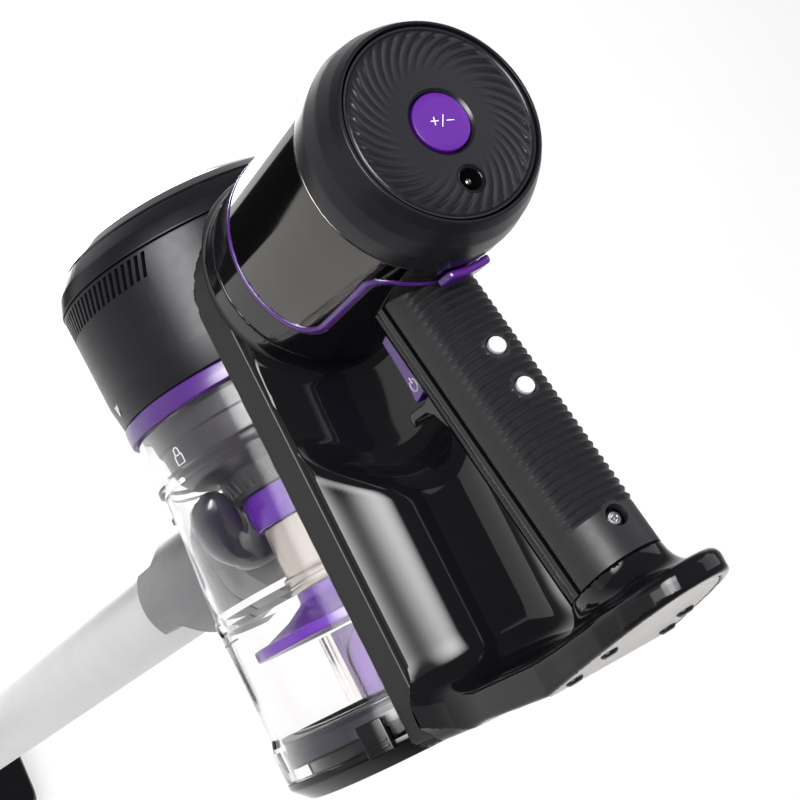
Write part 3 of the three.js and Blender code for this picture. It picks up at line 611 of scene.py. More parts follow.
def softbox(name, direction, distance, width, height, radiance, mirror=True, target=LIGHT_TARGET):
    """A rectangular lamp at a direction from the hand unit. Radiance is how bright its face is."""
    light = bpy.data.lights.new(name, "AREA")
    light.shape = "RECTANGLE"
    light.size = width
    light.size_y = height
    light.energy = radiance * width * height * math.pi
    lamp = bpy.data.objects.new(name, light)
    middle = Vector(to_part(target))
    bpy.context.scene.collection.objects.link(lamp)
    look_at(lamp, middle + Vector(direction).normalized() * distance, middle)
    lamp.visible_glossy = mirror
    lamp.visible_camera = False
    return lamp


CARD_Z = FLOOR_Z + 4


def dark_card(name, low, high):
    """A black flag just above the floor that only the polished shells mirror."""
    black = finish_material(name, (0.006, 0.006, 0.006), 0.9, smudge=6)
    low, high = to_part((*low, CARD_Z)), to_part((*high, CARD_Z))
    card = stage_sheet(name, low[:2], high[:2], low[2], black)
    card.visible_camera = False
    card.visible_diffuse = False
    card.visible_shadow = False


def make_lights():
    softbox("soft_top", direction=(-0.3, 0.25, 1.0), distance=2.2, width=2.6, height=2.6, radiance=2.3,
            mirror=False)
    cover_light = softbox("cover_light", direction=(-0.72, 0.12, 0.68), distance=1.3, width=1.1,
                          height=1.05, radiance=24.0)
    cover_light.visible_diffuse = False
    fade_edges(cover_light.data)
    softbox("left_wall", direction=(-1.0, 0.1, 0.05), distance=1.6, width=1.4, height=1.6, radiance=0.5)
    softbox("right_wall", direction=(0.8, 0.15, 0.5), distance=1.7, width=1.2, height=1.5, radiance=1.3)
    softbox("floor_wash", direction=(0.0, 0.0, 1.0), distance=2.6, width=4.5, height=4.5, radiance=2.0,
            mirror=False)
    softbox("barrel_glow", direction=(0.2, 0.43, -0.87), distance=1.0, width=0.3, height=0.42,
            radiance=11.0, target=(0, MOTOR_Y, 110))
    dark_card("flag_left", (-650, 330), (-60, 900))


CAMERA_PLACE = (-250.4, -97.0, 516.2)
CAMERA_BACK = Vector((-0.4873, -0.1158, 0.8655))
CAMERA_UP = Vector((0.3449, 0.8850, 0.3126))
CAMERA_LENS = 78.8


def make_camera():
    camera = bpy.data.cameras.new("camera")
    camera.lens = CAMERA_LENS
    camera.clip_start = 0.01
    obj = bpy.data.objects.new("camera", camera)
    back = CAMERA_BACK.normalized()
    right = CAMERA_UP.cross(back).normalized()
    up = back.cross(right)
    turn = Matrix((right, up, back)).transposed().to_4x4()
    obj.matrix_world = Matrix.Translation(to_part(CAMERA_PLACE)) @ turn
    bpy.context.scene.collection.objects.link(obj)
    bpy.context.scene.camera = obj
    bpy.context.scene.view_settings.view_transform = "Standard"


make_stage()
make_lights()
make_camera()


# ---------- motor barrel ----------
def from_motor(x, y):
    return np.hypot(x, y - MOTOR_Y)


def collar_region(x, y, z):
    """Distance, on the barrel, from the line between collar and cover. Negative for the collar."""
    ahead = z - TRIM_Z
    saddle = edge(np.abs(x) - TRIM_HALF, z - TRIM_REAR_Z, TRIM_CORNER)
    saddle = np.where(y < MOTOR_Y - 8, saddle, 50.0)
    return smooth_min(ahead, saddle, 9.0)


def barrel_shell(x, y, inner, outer, r=0.5):
    away = from_motor(x, y)
    return edge(away - outer, inner - away, r)


def make_barrel():
    trim = 0.85
    low = (-34, MOTOR_Y - 34, COLLAR_Z - 1)
    high = (34, MOTOR_Y + 34, BEZEL_Z + 1)

    def cover(x, y, z):
        shell = barrel_shell(x, y, MOTOR_R - 2.2, MOTOR_R + 0.05)
        side = trim + 0.05 - collar_region(x, y, z)
        return edge(edge(shell, side, 0.35), z - (BEZEL_Z - 0.3), 0.3)

    def collar(x, y, z):
        shell = barrel_shell(x, y, MOTOR_R - 2.6, MOTOR_R)
        side = collar_region(x, y, z) + trim + 0.05
        return edge(edge(shell, side, 0.35), COLLAR_Z + 0.1 - z, 0.6)

    def line(x, y, z):
        away = from_motor(x, y)
        across = np.abs(collar_region(x, y, z)) - trim
        return edge(np.maximum(away - MOTOR_R - 0.35, MOTOR_R - 1.8 - away), across, 0.4)

    moulded("barrel_cover", cover, low, high, 0.85, GUNMETAL, "root", "motor_cover")
    moulded("barrel_collar", collar, low, high, 0.85, GLOSS, "root", "motor_collar")
    moulded("purple_line", line, low, high, 0.5, PURPLE, "root", "trim_line")

    def tab(x, y, z):
        away = from_motor(x, y)
        band = edge(away - MOTOR_R - 2.6, MOTOR_R + 0.35 - away, 0.6)
        side = edge(np.abs(x - 1.5) - 7.8 + 0.12 * (z - 128), np.abs(z - 132.0) - 3.6, 1.5)
        return np.maximum(edge(band, side, 0.8), y - 5)

    moulded("purple_tab", tab, (-10, -27, 126), (12, -10, 138), 0.4, PURPLE, "root", "trim_tab")


def make_rear_end():
    rim = MOTOR_R + 0.2
    ring = rounded([
        (MOTOR_R - 3.2, BEZEL_Z), (rim, BEZEL_Z, 0.4), (rim, 143, 8), (31.7, 149, 8), (29.9, 154, 4),
        (28.4, REAR_Z, 1.2), (DISC_R + 0.7, REAR_Z + 0.1, 0.4), (DISC_R + 0.5, REAR_Z - 2.6, 0.4),
        (DISC_R + 0.3, 150.7), (MOTOR_R - 3.2, 150.7),
    ], 0.4, closed=True, steps=6)
    make_piece("barrel_ring", turned(ring, "Z", (0, MOTOR_Y, 0), 160), SATIN_SOFT, "root",
               "rear_bezel")
    plate = make_piece("back_plate", back_plate(), SATIN, "root", "rear_grille")
    cut(plate, turned([(0, 149), (4.1, 149), (4.1, 160), (0, 160)], "Z", (0, SOCKET_Y, 0), 64))
    button = rounded([
        (0, 151.6), (6.8, 151.6), (6.8, 154.1), (8.25, 154.1), (8.25, 156.4, 0.5), (6.5, 156.75, 3),
        (0, 156.9),
    ], 0.3)
    make_piece("mode_key_cap", turned(button, "Z", (0, MOTOR_Y, 0), 72), PURPLE_SATIN, "mode_key",
               "mode_button")
    make_marks()
    make_socket()


RIBS, HOLE_R, PLATE_Z = 38, 8.75, 151.3


def back_plate():
    """The round plate with its curved ribs, thinner and lower towards the middle."""
    around = 20 * RIBS
    radii = np.concatenate([[HOLE_R, 8.9, 9.2, 9.5, 10.3, 11.2], np.linspace(12, DISC_R - 1.6, 38),
                            [DISC_R - 1.1, DISC_R - 0.8, DISC_R - 0.5, DISC_R - 0.15, DISC_R]])
    face = REAR_Z - 0.55
    angle = np.arange(around) * 2 * math.pi / around
    rings = []
    for r in radii:
        t = (r - 13.0) / (DISC_R - 15.5)
        strength = np.clip(t, 0, 1) ** 2.0 * np.clip((DISC_R - 1.4 - r) / 1.2, 0, 1)
        twist = -0.95 * (r / DISC_R) ** 1.4
        wave = 0.5 + 0.5 * np.cos(RIBS * angle - RIBS * twist)
        height = 0.55 * strength * wave ** 3.0
        z = np.full(around, face) + height
        if r < 9.5:
            z -= 0.7 * (9.5 - r) / 0.75
        if r > DISC_R - 1.2:
            z -= 0.35 * math.exp(-((r - DISC_R + 0.8) / 0.22) ** 2)
        rings.append(np.stack([r * np.cos(angle), r * np.sin(angle) + MOTOR_Y, z], -1))
    for r in (DISC_R, HOLE_R):
        rings.append(np.stack([r * np.cos(angle), r * np.sin(angle) + MOTOR_Y, np.full(around, PLATE_Z)], -1))
    return np.concatenate(rings), ring_faces(len(rings), around, closed=True)


SOCKET_Y = MOTOR_Y - 16.7


def make_socket():
    shell = rounded([
        (0, 145), (4.0, 145), (4.0, REAR_Z - 0.35, 0.35), (3.05, REAR_Z - 0.9, 0.4), (3.05, 147), (0, 147),
    ], 0.2)
    make_piece("charge_socket", turned(shell, "Z", (0, SOCKET_Y, 0), 64), GLOSS, "root",
               "socket_shell")
    pin = rounded([(0, 147.2), (0.95, 147.2), (0.95, 154.6, 0.6), (0, 155.2)], 0.3)
    make_piece("socket_contact", turned(pin, "Z", (0, SOCKET_Y, 0), 24), STEEL, "root",
               "socket_pin")


def bar(length, width, centre, angle, low, high):
    """A thin strip with round ends, lying in X and Y, for a printed mark."""
    half, r = length / 2 - width / 2, width / 2
    ring = []
    for side in (1, -1):
        for k in range(9):
            t = math.radians(-90 + 180 * k / 8)
            ring.append((side * (half + r * math.cos(t)), side * r * math.sin(t)))
    c, s = math.cos(angle), math.sin(angle)
    ring = [(centre[0] + c * x - s * y, centre[1] + s * x + c * y) for x, y in ring]
    return lofted([[(x, y, h) for x, y in ring] for h in (low, high)])


MARK_TURN = math.radians(-13)
MARK_LOW, MARK_HIGH = 156.74, 156.99


def make_marks():
    """Plus, slash and minus on the mode button."""
    strokes = [(2.3, 0.21, -2.3, 0), (2.3, 0.21, -2.3, 90), (3.6, 0.2, 0.1, 72), (2.3, 0.21, 2.3, 0)]
    points, faces = joined([
        bar(length, width, (x, 0), math.radians(turn), MARK_LOW, MARK_HIGH)
        for length, width, x, turn in strokes
    ])
    c, s = math.cos(MARK_TURN), math.sin(MARK_TURN)
    x, y, z = points.T
    points = np.stack([c * x - s * y, s * x + c * y + MOTOR_Y, z], -1)
    make_piece("mode_marks", (points, faces), MARK_WHITE, "mode_key")


make_barrel()
make_rear_end()


# ---------- handle ----------
def handle_section(angles, grow=0.0):
    """The grip's rounded section at angles from +X, with 90 degrees at the rear. Rows of (x, z)."""
    c, s = np.cos(angles), np.sin(angles)
    x = (HANDLE_HALF + grow) * np.sign(c) * np.abs(c) ** HANDLE_POWER
    z = (HANDLE_DEPTH / 2 + grow) * np.sign(s) * np.abs(s) ** HANDLE_POWER - HANDLE_DEPTH / 2
    return x, z


def half_shell(along, start, stop, outward, steps):
    """Half of the grip as a shell. outward(angle, y) says how far the surface stands out."""
    angles = np.radians(np.linspace(start, stop, steps + 1))
    sections = []
    for y in along:
        x, z = handle_section(angles, outward(angles, y))
        xi, zi = handle_section(angles[::-1], -GRIP_WALL)
        across, deep = np.concatenate([x, xi]), np.concatenate([z, zi])
        sections.append(along_axis("Y", across, deep, np.full(len(across), y)))
    return placed(on_handle, lofted(sections))


RIB_TOP, RIB_LOW, RIB_PITCH = -13.0, -96.0, 2.42
POWER_HIGH, POWER_LOW, POWER_HALF = -16.0, -36.2, 9.2


def rib_height(angles, y):
    """Fine ribs across the back of the grip, fading towards the sides, and a groove round each lamp."""
    phase = ((RIB_TOP - y) / RIB_PITCH) % 1.0
    tooth = np.where(phase < 0.72, phase / 0.72, (1 - phase) / 0.28)
    inside = 1.0 if RIB_LOW < y < RIB_TOP else 0.0
    rise = np.sin(angles)
    turn = np.degrees(angles)
    fade = np.clip((turn - 14) / 14, 0, 1) * np.clip((152 - turn) / 22, 0, 1)
    height = 0.95 * (tooth - 0.45) * fade * inside
    x, _ = handle_section(angles)
    for centre, r in zip((*LENS_ALONG, SCREW_ALONG), (3.6, 3.6, 3.9)):
        near = np.clip((np.hypot(x, y - centre) - r) / 0.7, 0, 1)
        height = np.where(rise > 0, height * near, height)
    seam = np.clip(np.minimum(angles - math.radians(2), math.radians(178) - angles) / 0.1, 0, 1)
    return height - 0.5 * (1 - seam)


def make_grip():
    fine = np.arange(RIB_LOW - 2, RIB_TOP + 1, RIB_PITCH / 9)
    below = np.linspace(GRIP_LOW, RIB_LOW - 2.2, 14)
    above = np.linspace(RIB_TOP + 1.2, GRIP_TOP, 8)
    shell = half_shell(np.concatenate([below, fine, above]), 2, 178, rib_height, 120)
    grip = make_piece("grip_rear", shell, RUBBER, "root", "handle_grip")
    for centre, r in zip((*LENS_ALONG, SCREW_ALONG), (2.95, 2.95, 3.1)):
        rod = turned([(0, -8), (r, -8), (r, 4), (0, 4)], "Z", (0, centre, 0), 48)
        cut(grip, placed(on_handle, rod))
    grip.data.set_sharp_from_angle(angle=GRIP_SHARP_ANGLE)

    def seam_groove(angles, y):
        sideways = np.abs(np.cos(angles))
        groove = 0.45 * np.exp(-((sideways - 0.955) / 0.012) ** 2)
        return -groove - 0.35 * np.clip((sideways - 0.99) / 0.01, 0, 1)

    shell = half_shell(np.linspace(GRIP_LOW, GRIP_TOP, 90), 182.5, 357.5, seam_groove, 160)
    front = make_piece("grip_front", shell, GLOSS, "root", "handle_front")
    half = POWER_HALF + 0.4
    opening = [(-half, -40), (half, -40), (half, -20), (-half, -20)]
    ends = (POWER_LOW - 0.4, POWER_HIGH + 0.4)
    cut(front, placed(on_handle, lofted([[(x, y, z) for x, z in opening] for y in ends])))
    front.data.set_sharp_from_angle(angle=GRIP_SHARP_ANGLE)
    make_grip_details()


def make_grip_details():
    lens = rounded([(0, -3.4), (2.55, -3.4), (2.55, 0.55, 0.5), (1.6, 0.8, 1), (0, 0.85)], 0.3)
    for name, centre, node in (("lamp_upper", LENS_ALONG[0], "led_lens_upper"),
                               ("lamp_lower", LENS_ALONG[1], "led_lens_lower")):
        lamp = placed(on_handle, turned(lens, "Z", (0, centre, 0), 40))
        make_piece(name, lamp, LENS, "root", node)
    screw = rounded([
        (0, -6), (2.55, -6), (2.55, -2.6, 0.6), (1.7, -2.0, 0.5), (1.1, -2.1, 0.1), (0.9, -3.4, 0.1),
        (0, -3.5),
    ], 0.2)
    screw = placed(on_handle, turned(screw, "Z", (0, SCREW_ALONG, 0), 48))
    make_piece("grip_screw", screw, STEEL, "root", "handle_screw")


make_grip()


# ---------- trigger and finger stop ----------
def make_power_mark():
    """An open ring with a stroke through its gap, on the left side of the trigger."""
    r = 1.9
    turns = np.radians(np.linspace(-50, 230, 23))
    ring = [(r * math.cos(t), r * math.sin(t)) for t in turns]
    strokes = []
    for a, b in zip(ring, ring[1:]):
        middle = ((a[0] + b[0]) / 2, (a[1] + b[1]) / 2)
        strokes.append(bar(0.66, 0.32, middle, math.atan2(b[1] - a[1], b[0] - a[0]), 0, 0.3))
    strokes.append(bar(1.9, 0.3, (0, -1.5), math.pi / 2, 0, 0.3))
    points, faces = joined(strokes)
    u, v, h = points.T
    points = np.stack([-POWER_HALF + 0.05 - h, POWER_LOW + 3.9 - v, -30.9 + u], -1)
    make_piece("power_mark", (on_handle(points), faces), MARK_WHITE, "power_key")


def make_trigger():
    wedge = side_solid([
        (POWER_HIGH, -22), (POWER_LOW, -22), (POWER_LOW, -35), (POWER_LOW + 0.8, -35.5),
        (POWER_LOW + 5, -34.2), (POWER_LOW + 11, -33.4), (POWER_HIGH, -32.6),
    ], POWER_HALF, 0.45)
    moulded("trigger", wedge, (-10, POWER_LOW - 1, -37), (10, POWER_HIGH + 1, -21), 0.4, PURPLE,
            "power_key", "power_button", place=on_handle)
    make_power_mark()


def make_finger_stop():
    side = [(2.6, -22), (3.2, -28.5), (0.8, -38.2), (1.1, -39.6), (2, -40.2), (4.4, -40.4), (4.7, -39.2),
            (3.7, -37.8), (5.4, -31), (8, -28), (14, -25.5), (14, -22)]
    hook = side_solid([(POWER_LOW - below, z) for below, z in side], 11.3, 0.5)
    moulded("finger_hook", hook, (-12, POWER_LOW - 15, -41.5), (12, POWER_LOW, -21), 0.45, GLOSS, "root",
            "finger_stop", place=on_handle)


make_trigger()
make_finger_stop()


# ---------- body behind the bin, and its foot ----------
BAND_KNEE, BAND_TOP, BAND_LEAN = 43.0, 53.8, 0.3
FLANGE_WALL = 1.1


def body_outline(x, y):
    """Distance from the body's outline as seen from behind: straight flanges under a round arch."""
    return np.where(y > MOTOR_Y, from_motor(x, y), np.abs(x)) - BODY_HALF


def band_face(x, y, z):
    """Distance from the flange's outer face, which leans inwards above a height."""
    return (body_outline(x, y) + BAND_LEAN * np.maximum(z - BAND_KNEE, 0)) / 1.044


def neck_top(x, y):
    """Height of the scooped neck between the barrel and the bulged cover."""
    dip = 1.6 * np.exp(-((y + 34) / 14) ** 2)
    return BAND_TOP + 4.4 * (1 - np.clip(np.abs(x) / 30, 0, 1) ** 2) - dip


def cover_bulge(x, y, z):
    """The cover's broad pillow, with its upper edge curving up towards the sides."""
    section = edge(np.abs(x) - 28.2, z - 70.6, 23.0)
    upper = y + 56.5 - 18.5 * (x / 28) ** 2
    return edge(section, upper / 1.2, 10.0)


def foot_plan():
    half = [(BODY_HALF, 38), (BODY_HALF, 43), (30.3, 53.5), (27.6, 66), (26, 85), (23.6, 112),
            (22.4, 120), (21.3, 129), (19.6, 140), (17, 150), (13.5, 158), (8.5, 164.5), (3, 167)]
    return polygon_distance(rounded(mirrored(half), 16.0, closed=True))


def foot_top(z):
    level = BODY_LOW - GAP
    return np.interp(z, [38, 72, 113, 150, 177], [level, level, -119.6, -115, -111.2])


def foot_bottom(z):
    return BASE_Y + np.maximum(z - BASE_Z, 0) * math.tan(BASE_TILT)


def handle_place(x, y, z):
    """The same points in the grip's own axes."""
    c, s = math.cos(HANDLE_TILT), math.sin(HANDLE_TILT)
    up = z - HANDLE_Z
    return x, c * y - s * up, s * y + c * up


def grip_distance(x, z):
    """About how far a point is from the grip's rounded section, in the grip's own axes."""
    power = 2 / HANDLE_POWER
    half = HANDLE_DEPTH / 2
    a = np.abs(x) / HANDLE_HALF
    b = np.abs(z + half) / half
    return ((a ** power + b ** power) ** (1 / power) - 1) * half


def foot_solid(x, y, z, plan, plate):
    """The foot with the stump that carries the grip, and the shallow pocket of its grey plate."""
    solid = edge(plan(x, z), y - foot_top(z), 3.2)
    hx, hy, hz = handle_place(x, y, z)
    riser = edge(grip_distance(hx, hz), hy - GRIP_LOW + GAP, 0.4)
    solid = smooth_min(solid, np.maximum(riser, -y - 124), 9.0)
    solid = edge(solid, foot_bottom(z) - y, 1.3)
    c, s = math.cos(BASE_TILT), math.sin(BASE_TILT)
    by, bz = c * (y - BASE_Y) - s * (z - BASE_Z), s * (y - BASE_Y) + c * (z - BASE_Z)
    return edge(solid, -np.maximum(plate(x, bz), by - 2.1), 0.3)


def body_solid(x, y, z):
    slab = edge(body_outline(x, y), z - neck_top(x, y), 0.7)
    stub = edge(from_motor(x, y) - MOTOR_R + 0.2, z - COLLAR_Z + 0.35, 0.5)
    whole = smooth_min(slab, stub, 5.0)
    whole = smooth_min(whole, cover_bulge(x, y, z), 9.0)
    return np.maximum(whole, BODY_LOW - 2 - y)


def flange_solid(x, y, z):
    face = band_face(x, y, z)
    shell = edge(face, -face - 2.2, 0.25)
    shell = edge(shell, z - BAND_TOP + 0.5, 0.35)
    shell = edge(shell, BASE_Y + 1.2 - y, 0.8)
    return edge(shell, BIN_CLEAR_R - np.hypot(x, z), 0.5)


def make_body():
    plan = foot_plan()
    plate = polygon_distance(plate_outline(0.35))

    def shell(x, y, z):
        solid = smooth_min(body_solid(x, y, z), foot_solid(x, y, z, plan, plate), 15.0)
        solid = edge(solid, np.where(z < BAND_TOP + 2, band_face(x, y, z) + FLANGE_WALL, -9.0), 0.5)
        return edge(solid, BIN_CLEAR_R - np.hypot(x, z), 0.5)

    low = (-BODY_HALF - 1.2, BASE_Y - 1, 37)
    high = (BODY_HALF + 1.2, MOTOR_Y + BODY_HALF + 1.2, 170)
    moulded("body_shell", shell, low, high, 1.0, GLOSS, "root", ["main_body", "rear_cover", "base_foot"])
    moulded("body_flange", flange_solid, low, (high[0], high[1], BAND_TOP + 1), 0.8, FLANGE, "root")


def make_foot_plate():
    plate = placed(on_base, pulled(plate_outline(0), 0, 1.8, 0.5))
    make_piece("foot_plate", plate, PLATE_GREY, "root", "base_plate")
    stud = rounded([(0, -1.0), (1.9, -1.0, 0.4), (2.6, -0.5, 0.4), (2.6, 0.7), (0, 0.7)], 0.3)
    for i, (x, z) in enumerate([(-16.6, 6), (16.6, 6), (-13.3, 22.5), (13.3, 22.5)]):
        screw = placed(on_base, turned(stud, "Y", (x, 0, z), 32))
        make_piece(f"foot_stud_{i + 1}", screw, SATIN, "root", f"base_screw_{i + 1}")


def plate_outline(grow):
    half = [(20.8 + grow, -4 - grow, 2), (20.6 + grow, 7, 8), (19.1 + grow, 18, 8), (16.8 + grow, 31, 8),
            (13.4 + grow, 42, 6), (9 + grow, 49.5 + grow, 5), (3, 53 + grow, 3)]
    return rounded(mirrored(half), 2.0, closed=True)


make_body()
make_foot_plate()


# ---------- filter housing, cap and ring ----------
def ring_point(radius, turn, y):
    """A point round the bin's axis. The turn is counted in degrees from the rear towards the left."""
    t = math.radians(turn)
    return np.array([-radius * math.sin(t), y, radius * math.cos(t)])


def make_cap():
    band = rounded([
        (50.3, DOME_SEAM), (52.8, DOME_SEAM, 0.4), (51.7, 47.0, 4), (47.9, 52.2, 0.4), (46, 50.4),
        (48.9, 46, 2),
    ], 0.3, closed=True)
    make_piece("cap_band", turned(band, "Y", segments=192), SATIN_SOFT, "cap")
    bow = [(r, 65.0 - 0.00165 * r ** 2.277) for r in np.linspace(43.5, 0, 40)]
    crown = rounded([(47.75, 52.35, 0), (47.3, 53.1, 1.5)] + bow[:1], 1.0) + bow[1:]
    crown = rounded(crown, 5.0, steps=3)
    inside = [(0, 62.5), (17.6, 61.4), (34, 57.4), (44.6, 52), (46.2, 51.2)]
    profile = crown[::-1] + [(47.5, 51.7)] + inside[::-1]
    make_piece("cap_dome", turned(profile, "Y", segments=192), GLOSS, "cap", "dome_cap")


def slanted_box(turn, side, low, high, width, radius, depth, lean):
    """A small block standing in a round wall, leaning sideways."""
    middle = (low + high) / 2
    half = (high - low) / 2
    points = []
    for r in (radius, radius + depth):
        for u, v in ((-1, -1), (1, -1), (1, 1), (-1, 1)):
            shift = u * width / 2 + lean * v * half
            points.append(ring_point(r, side * (turn + math.degrees(shift / radius)), middle + v * half))
    faces = [(0, 1, 2, 3), (7, 6, 5, 4), (0, 4, 5, 1), (1, 5, 6, 2), (2, 6, 7, 3), (3, 7, 4, 0)]
    return np.array(points), faces


VENT_FROM, VENT_TO, VENT_STEP = 47.0, 131.0, 3.0
VENT_LOW, VENT_HIGH = 33.2, 40.6


def make_housing():
    top = DOME_SEAM - GAP
    profile = rounded([
        (16, 0), (50.2, 0, 0.5), (51.6, 9, 4), (52.4, 40), (52.5, top, 0.4), (50, top), (49.4, 9), (48, 2.4),
        (16, 2.4),
    ], 0.3, closed=True)
    shell = make_piece("filter_shell", turned(profile, "Y", segments=192), SATIN_SOFT, "root",
                       "filter_housing")
    slots = []
    for turn in np.arange(VENT_FROM, VENT_TO + 0.1, VENT_STEP):
        for side in (1, -1):
            slots.append(slanted_box(turn, side, VENT_LOW, VENT_HIGH, width=1.35, radius=46.5, depth=9,
                                     lean=-0.34))
    cut(shell, joined(slots))
    cut(shell, turned([(0, 36), (13.4, 36), (13.4, 60), (0, 60)], "Z", (0, 24, 0), 48))
    shell.data.set_sharp_from_angle(angle=SHARP_ANGLE)
    mesh_ring = rounded([(46.6, 30), (47.4, 30), (47.4, 41), (46.6, 41)], 0.1, closed=True)
    make_piece("vent_screen", turned(mesh_ring, "Y", segments=128), SATIN, "root")
    make_ring_mark()


def curved_mark(outline, turn, y, radius, lift=0.18):
    """A thin printed mark on a round wall. The outline is in millimetres, across and up."""
    rings = []
    for h in (-0.05, lift):
        rings.append([ring_point(radius + h, turn + math.degrees(u / radius), y + v)
                      for u, v in outline])
    return lofted(rings)


def make_ring_mark():
    triangle = rounded([(-2.6, 2.4), (2.6, 2.4), (0, -2.3)], 0.3, closed=True)
    make_piece("arrow_mark", curved_mark(triangle, 96, 5.6, 51.15), MARK_WHITE, "root")


def make_ring():
    profile = rounded([
        (46.4, RING_LOW_Y), (50.6, RING_LOW_Y, 0.5), (50.75, -3.2, 2), (50.6, -GAP, 0.5), (46.4, -GAP),
    ], 0.3, closed=True)
    make_piece("twist_ring", turned(profile, "Y", segments=192), PURPLE, "ring", "lock_ring")


make_cap()
make_housing()
make_ring()


# ---------- bin ----------
def stroke_ring(points, width):
    """Two-sided outline of a thin stroke through points."""
    pts = np.asarray(points, float)
    ahead = np.gradient(pts, axis=0)
    ahead /= np.linalg.norm(ahead, axis=1, keepdims=True)
    side = np.stack([-ahead[:, 1], ahead[:, 0]], -1) * width / 2
    return np.concatenate([pts + side, (pts - side)[::-1]])


def make_cup():
    outer = [
        (48.9, -6.5, 0.4), (48.4, -21.8, 0.5), (49.75, -23.1, 0.4), (49.65, -24.9, 0.5),
        (48.35, -26, 0.8), (49.1, -41), (50.8, -58), (51.2, -67.6, 0.5), (51.95, -69.9, 0.5),
        (51.9, -72.2, 0.5), (51.6, -74), (51.8, -110.5, 2), (53, -114, 2), (53, CUP_LOW, 0.4),
    ]
    inner = [(50.6, CUP_LOW), (49.95, -110.8), (49.7, -74), (49.3, -67.6), (47.5, -40), (46.9, -24),
             (46.7, -6.5)]
    wall = rounded(outer + inner, 0.5, closed=True)
    make_piece("bin_cup", turned(wall, "Y", segments=192), CLEAR, "bin", "dust_cup")
    make_bin_marks()


def make_bin_marks():
    """An open lock near the ring and a line that shows how full the bin may be."""
    shackle = [(1.2 * math.cos(t), 0.4 + 1.2 * math.sin(t)) for t in np.linspace(0, math.pi, 14)]
    shackle = [(1.2, -0.7)] + shackle + [(-1.2, -0.7)]
    block = [(-0.2, -0.9), (1.9, -0.9), (1.9, -3.9), (-1.9, -3.9), (-1.9, -0.9), (-0.1, -0.9)]
    parts = [curved_mark(stroke_ring(stroke, 0.36), 74, -17.2, 48.6) for stroke in (shackle, block)]
    make_piece("lock_mark", joined(parts), MARK_WHITE, "bin")
    line = [(u, 0.0) for u in np.linspace(-10.5, 10.5, 40)]
    fill_line = curved_mark(stroke_ring(line, 0.5), 98, -77, 51.75, 0.15)
    make_piece("fill_line", fill_line, MARK_GREY, "bin")


def make_cyclone():
    make_shroud()
    make_cyclone_tube()
    make_guide()


def make_shroud():
    shroud = rounded([
        (12, -3.2), (46, -3.2, 0.6), (46, -6.6, 0.6), (44.6, -7.4, 0.6), (44.0, -13, 0.4), (43.2, -13.6, 0.4),
        (42.4, -22, 2), (39, -26.5, 3), (31, -29.5, 2), (29, -37.6, 0.5), (26.5, -37.6),
        (28.4, -9.2), (12, -9.2),
    ], 0.4, closed=True)
    make_piece("shroud", turned(shroud, "Y", segments=160), SHROUD, "bin", "cyclone_shroud")
    ribs = []
    for turn in np.arange(0, 360, 7.5):
        ribs.append(slanted_box(turn, 1, -36.0, -29.5, 0.9, 28.4, 2.2, 0.22))
    make_piece("shroud_fins", joined(ribs), SHROUD, "bin")


def make_cyclone_tube():
    collar = rounded([
        (22, -49.6), (26.6, -49.6, 0.6), (27.1, -44, 2), (26.6, -38, 0.6), (22, -38),
    ], 0.3, closed=True)
    make_piece("cyclone_band", turned(collar, "Y", segments=120), VIOLET, "bin", "cyclone_collar")
    tube = rounded([
        (22.4, -49.9), (24.4, -49.9), (24.4, -68.6, 0.3), (25.6, -69.2, 0.3), (25.6, -70.6, 0.3),
        (24.4, -71.6), (22.4, -71.6),
    ], 0.2, closed=True)
    make_piece("cyclone_tube", turned(tube, "Y", segments=120), TUBE, "bin", "vortex_tube")
    skirt = rounded([
        (20, -72), (23.8, -72, 0.5), (23.9, -75.4, 1.5), (30, -79.0, 2), (40, -82.6, 2), (44.4, -83, 0.6),
        (44.4, -86.6, 0.6), (38, -86.6), (20, -78.4),
    ], 0.4, closed=True)
    make_piece("skirt", turned(skirt, "Y", segments=160), VIOLET, "bin", "cyclone_skirt")


GUIDE_LOW, GUIDE_HIGH = -111.6, -88.2
ARCH_HALF, ARCH_Y = 11.0, -101.0


def make_guide():
    """A violet tube in a clear one, which has an arched opening on both sides."""
    core = tube_wall(17.6, 19.6, GUIDE_LOW, GUIDE_HIGH)
    make_piece("guide_core", turned(core, "Y", segments=96), MAUVE, "bin")
    wall = tube_wall(21.6, 24, GUIDE_LOW, GUIDE_HIGH)
    guide = make_piece("guide_tube", turned(wall, "Y", segments=96), CLEAR, "bin", "dust_guide")
    arch = [(-ARCH_HALF, -120), (ARCH_HALF, -120), (ARCH_HALF, ARCH_Y)]
    for t in np.linspace(0.2, math.pi - 0.2, 16):
        arch.append((ARCH_HALF * math.cos(t), ARCH_Y + ARCH_HALF * math.sin(t)))
    arch.append((-ARCH_HALF, ARCH_Y))
    cut(guide, placed(on_lid, lofted([[(u, v, w) for u, v in arch] for w in (-30, 30)])))
    guide.data.set_sharp_from_angle(angle=SHARP_ANGLE)


DUCT_R, DUCT_WALL = 8.4, 1.6


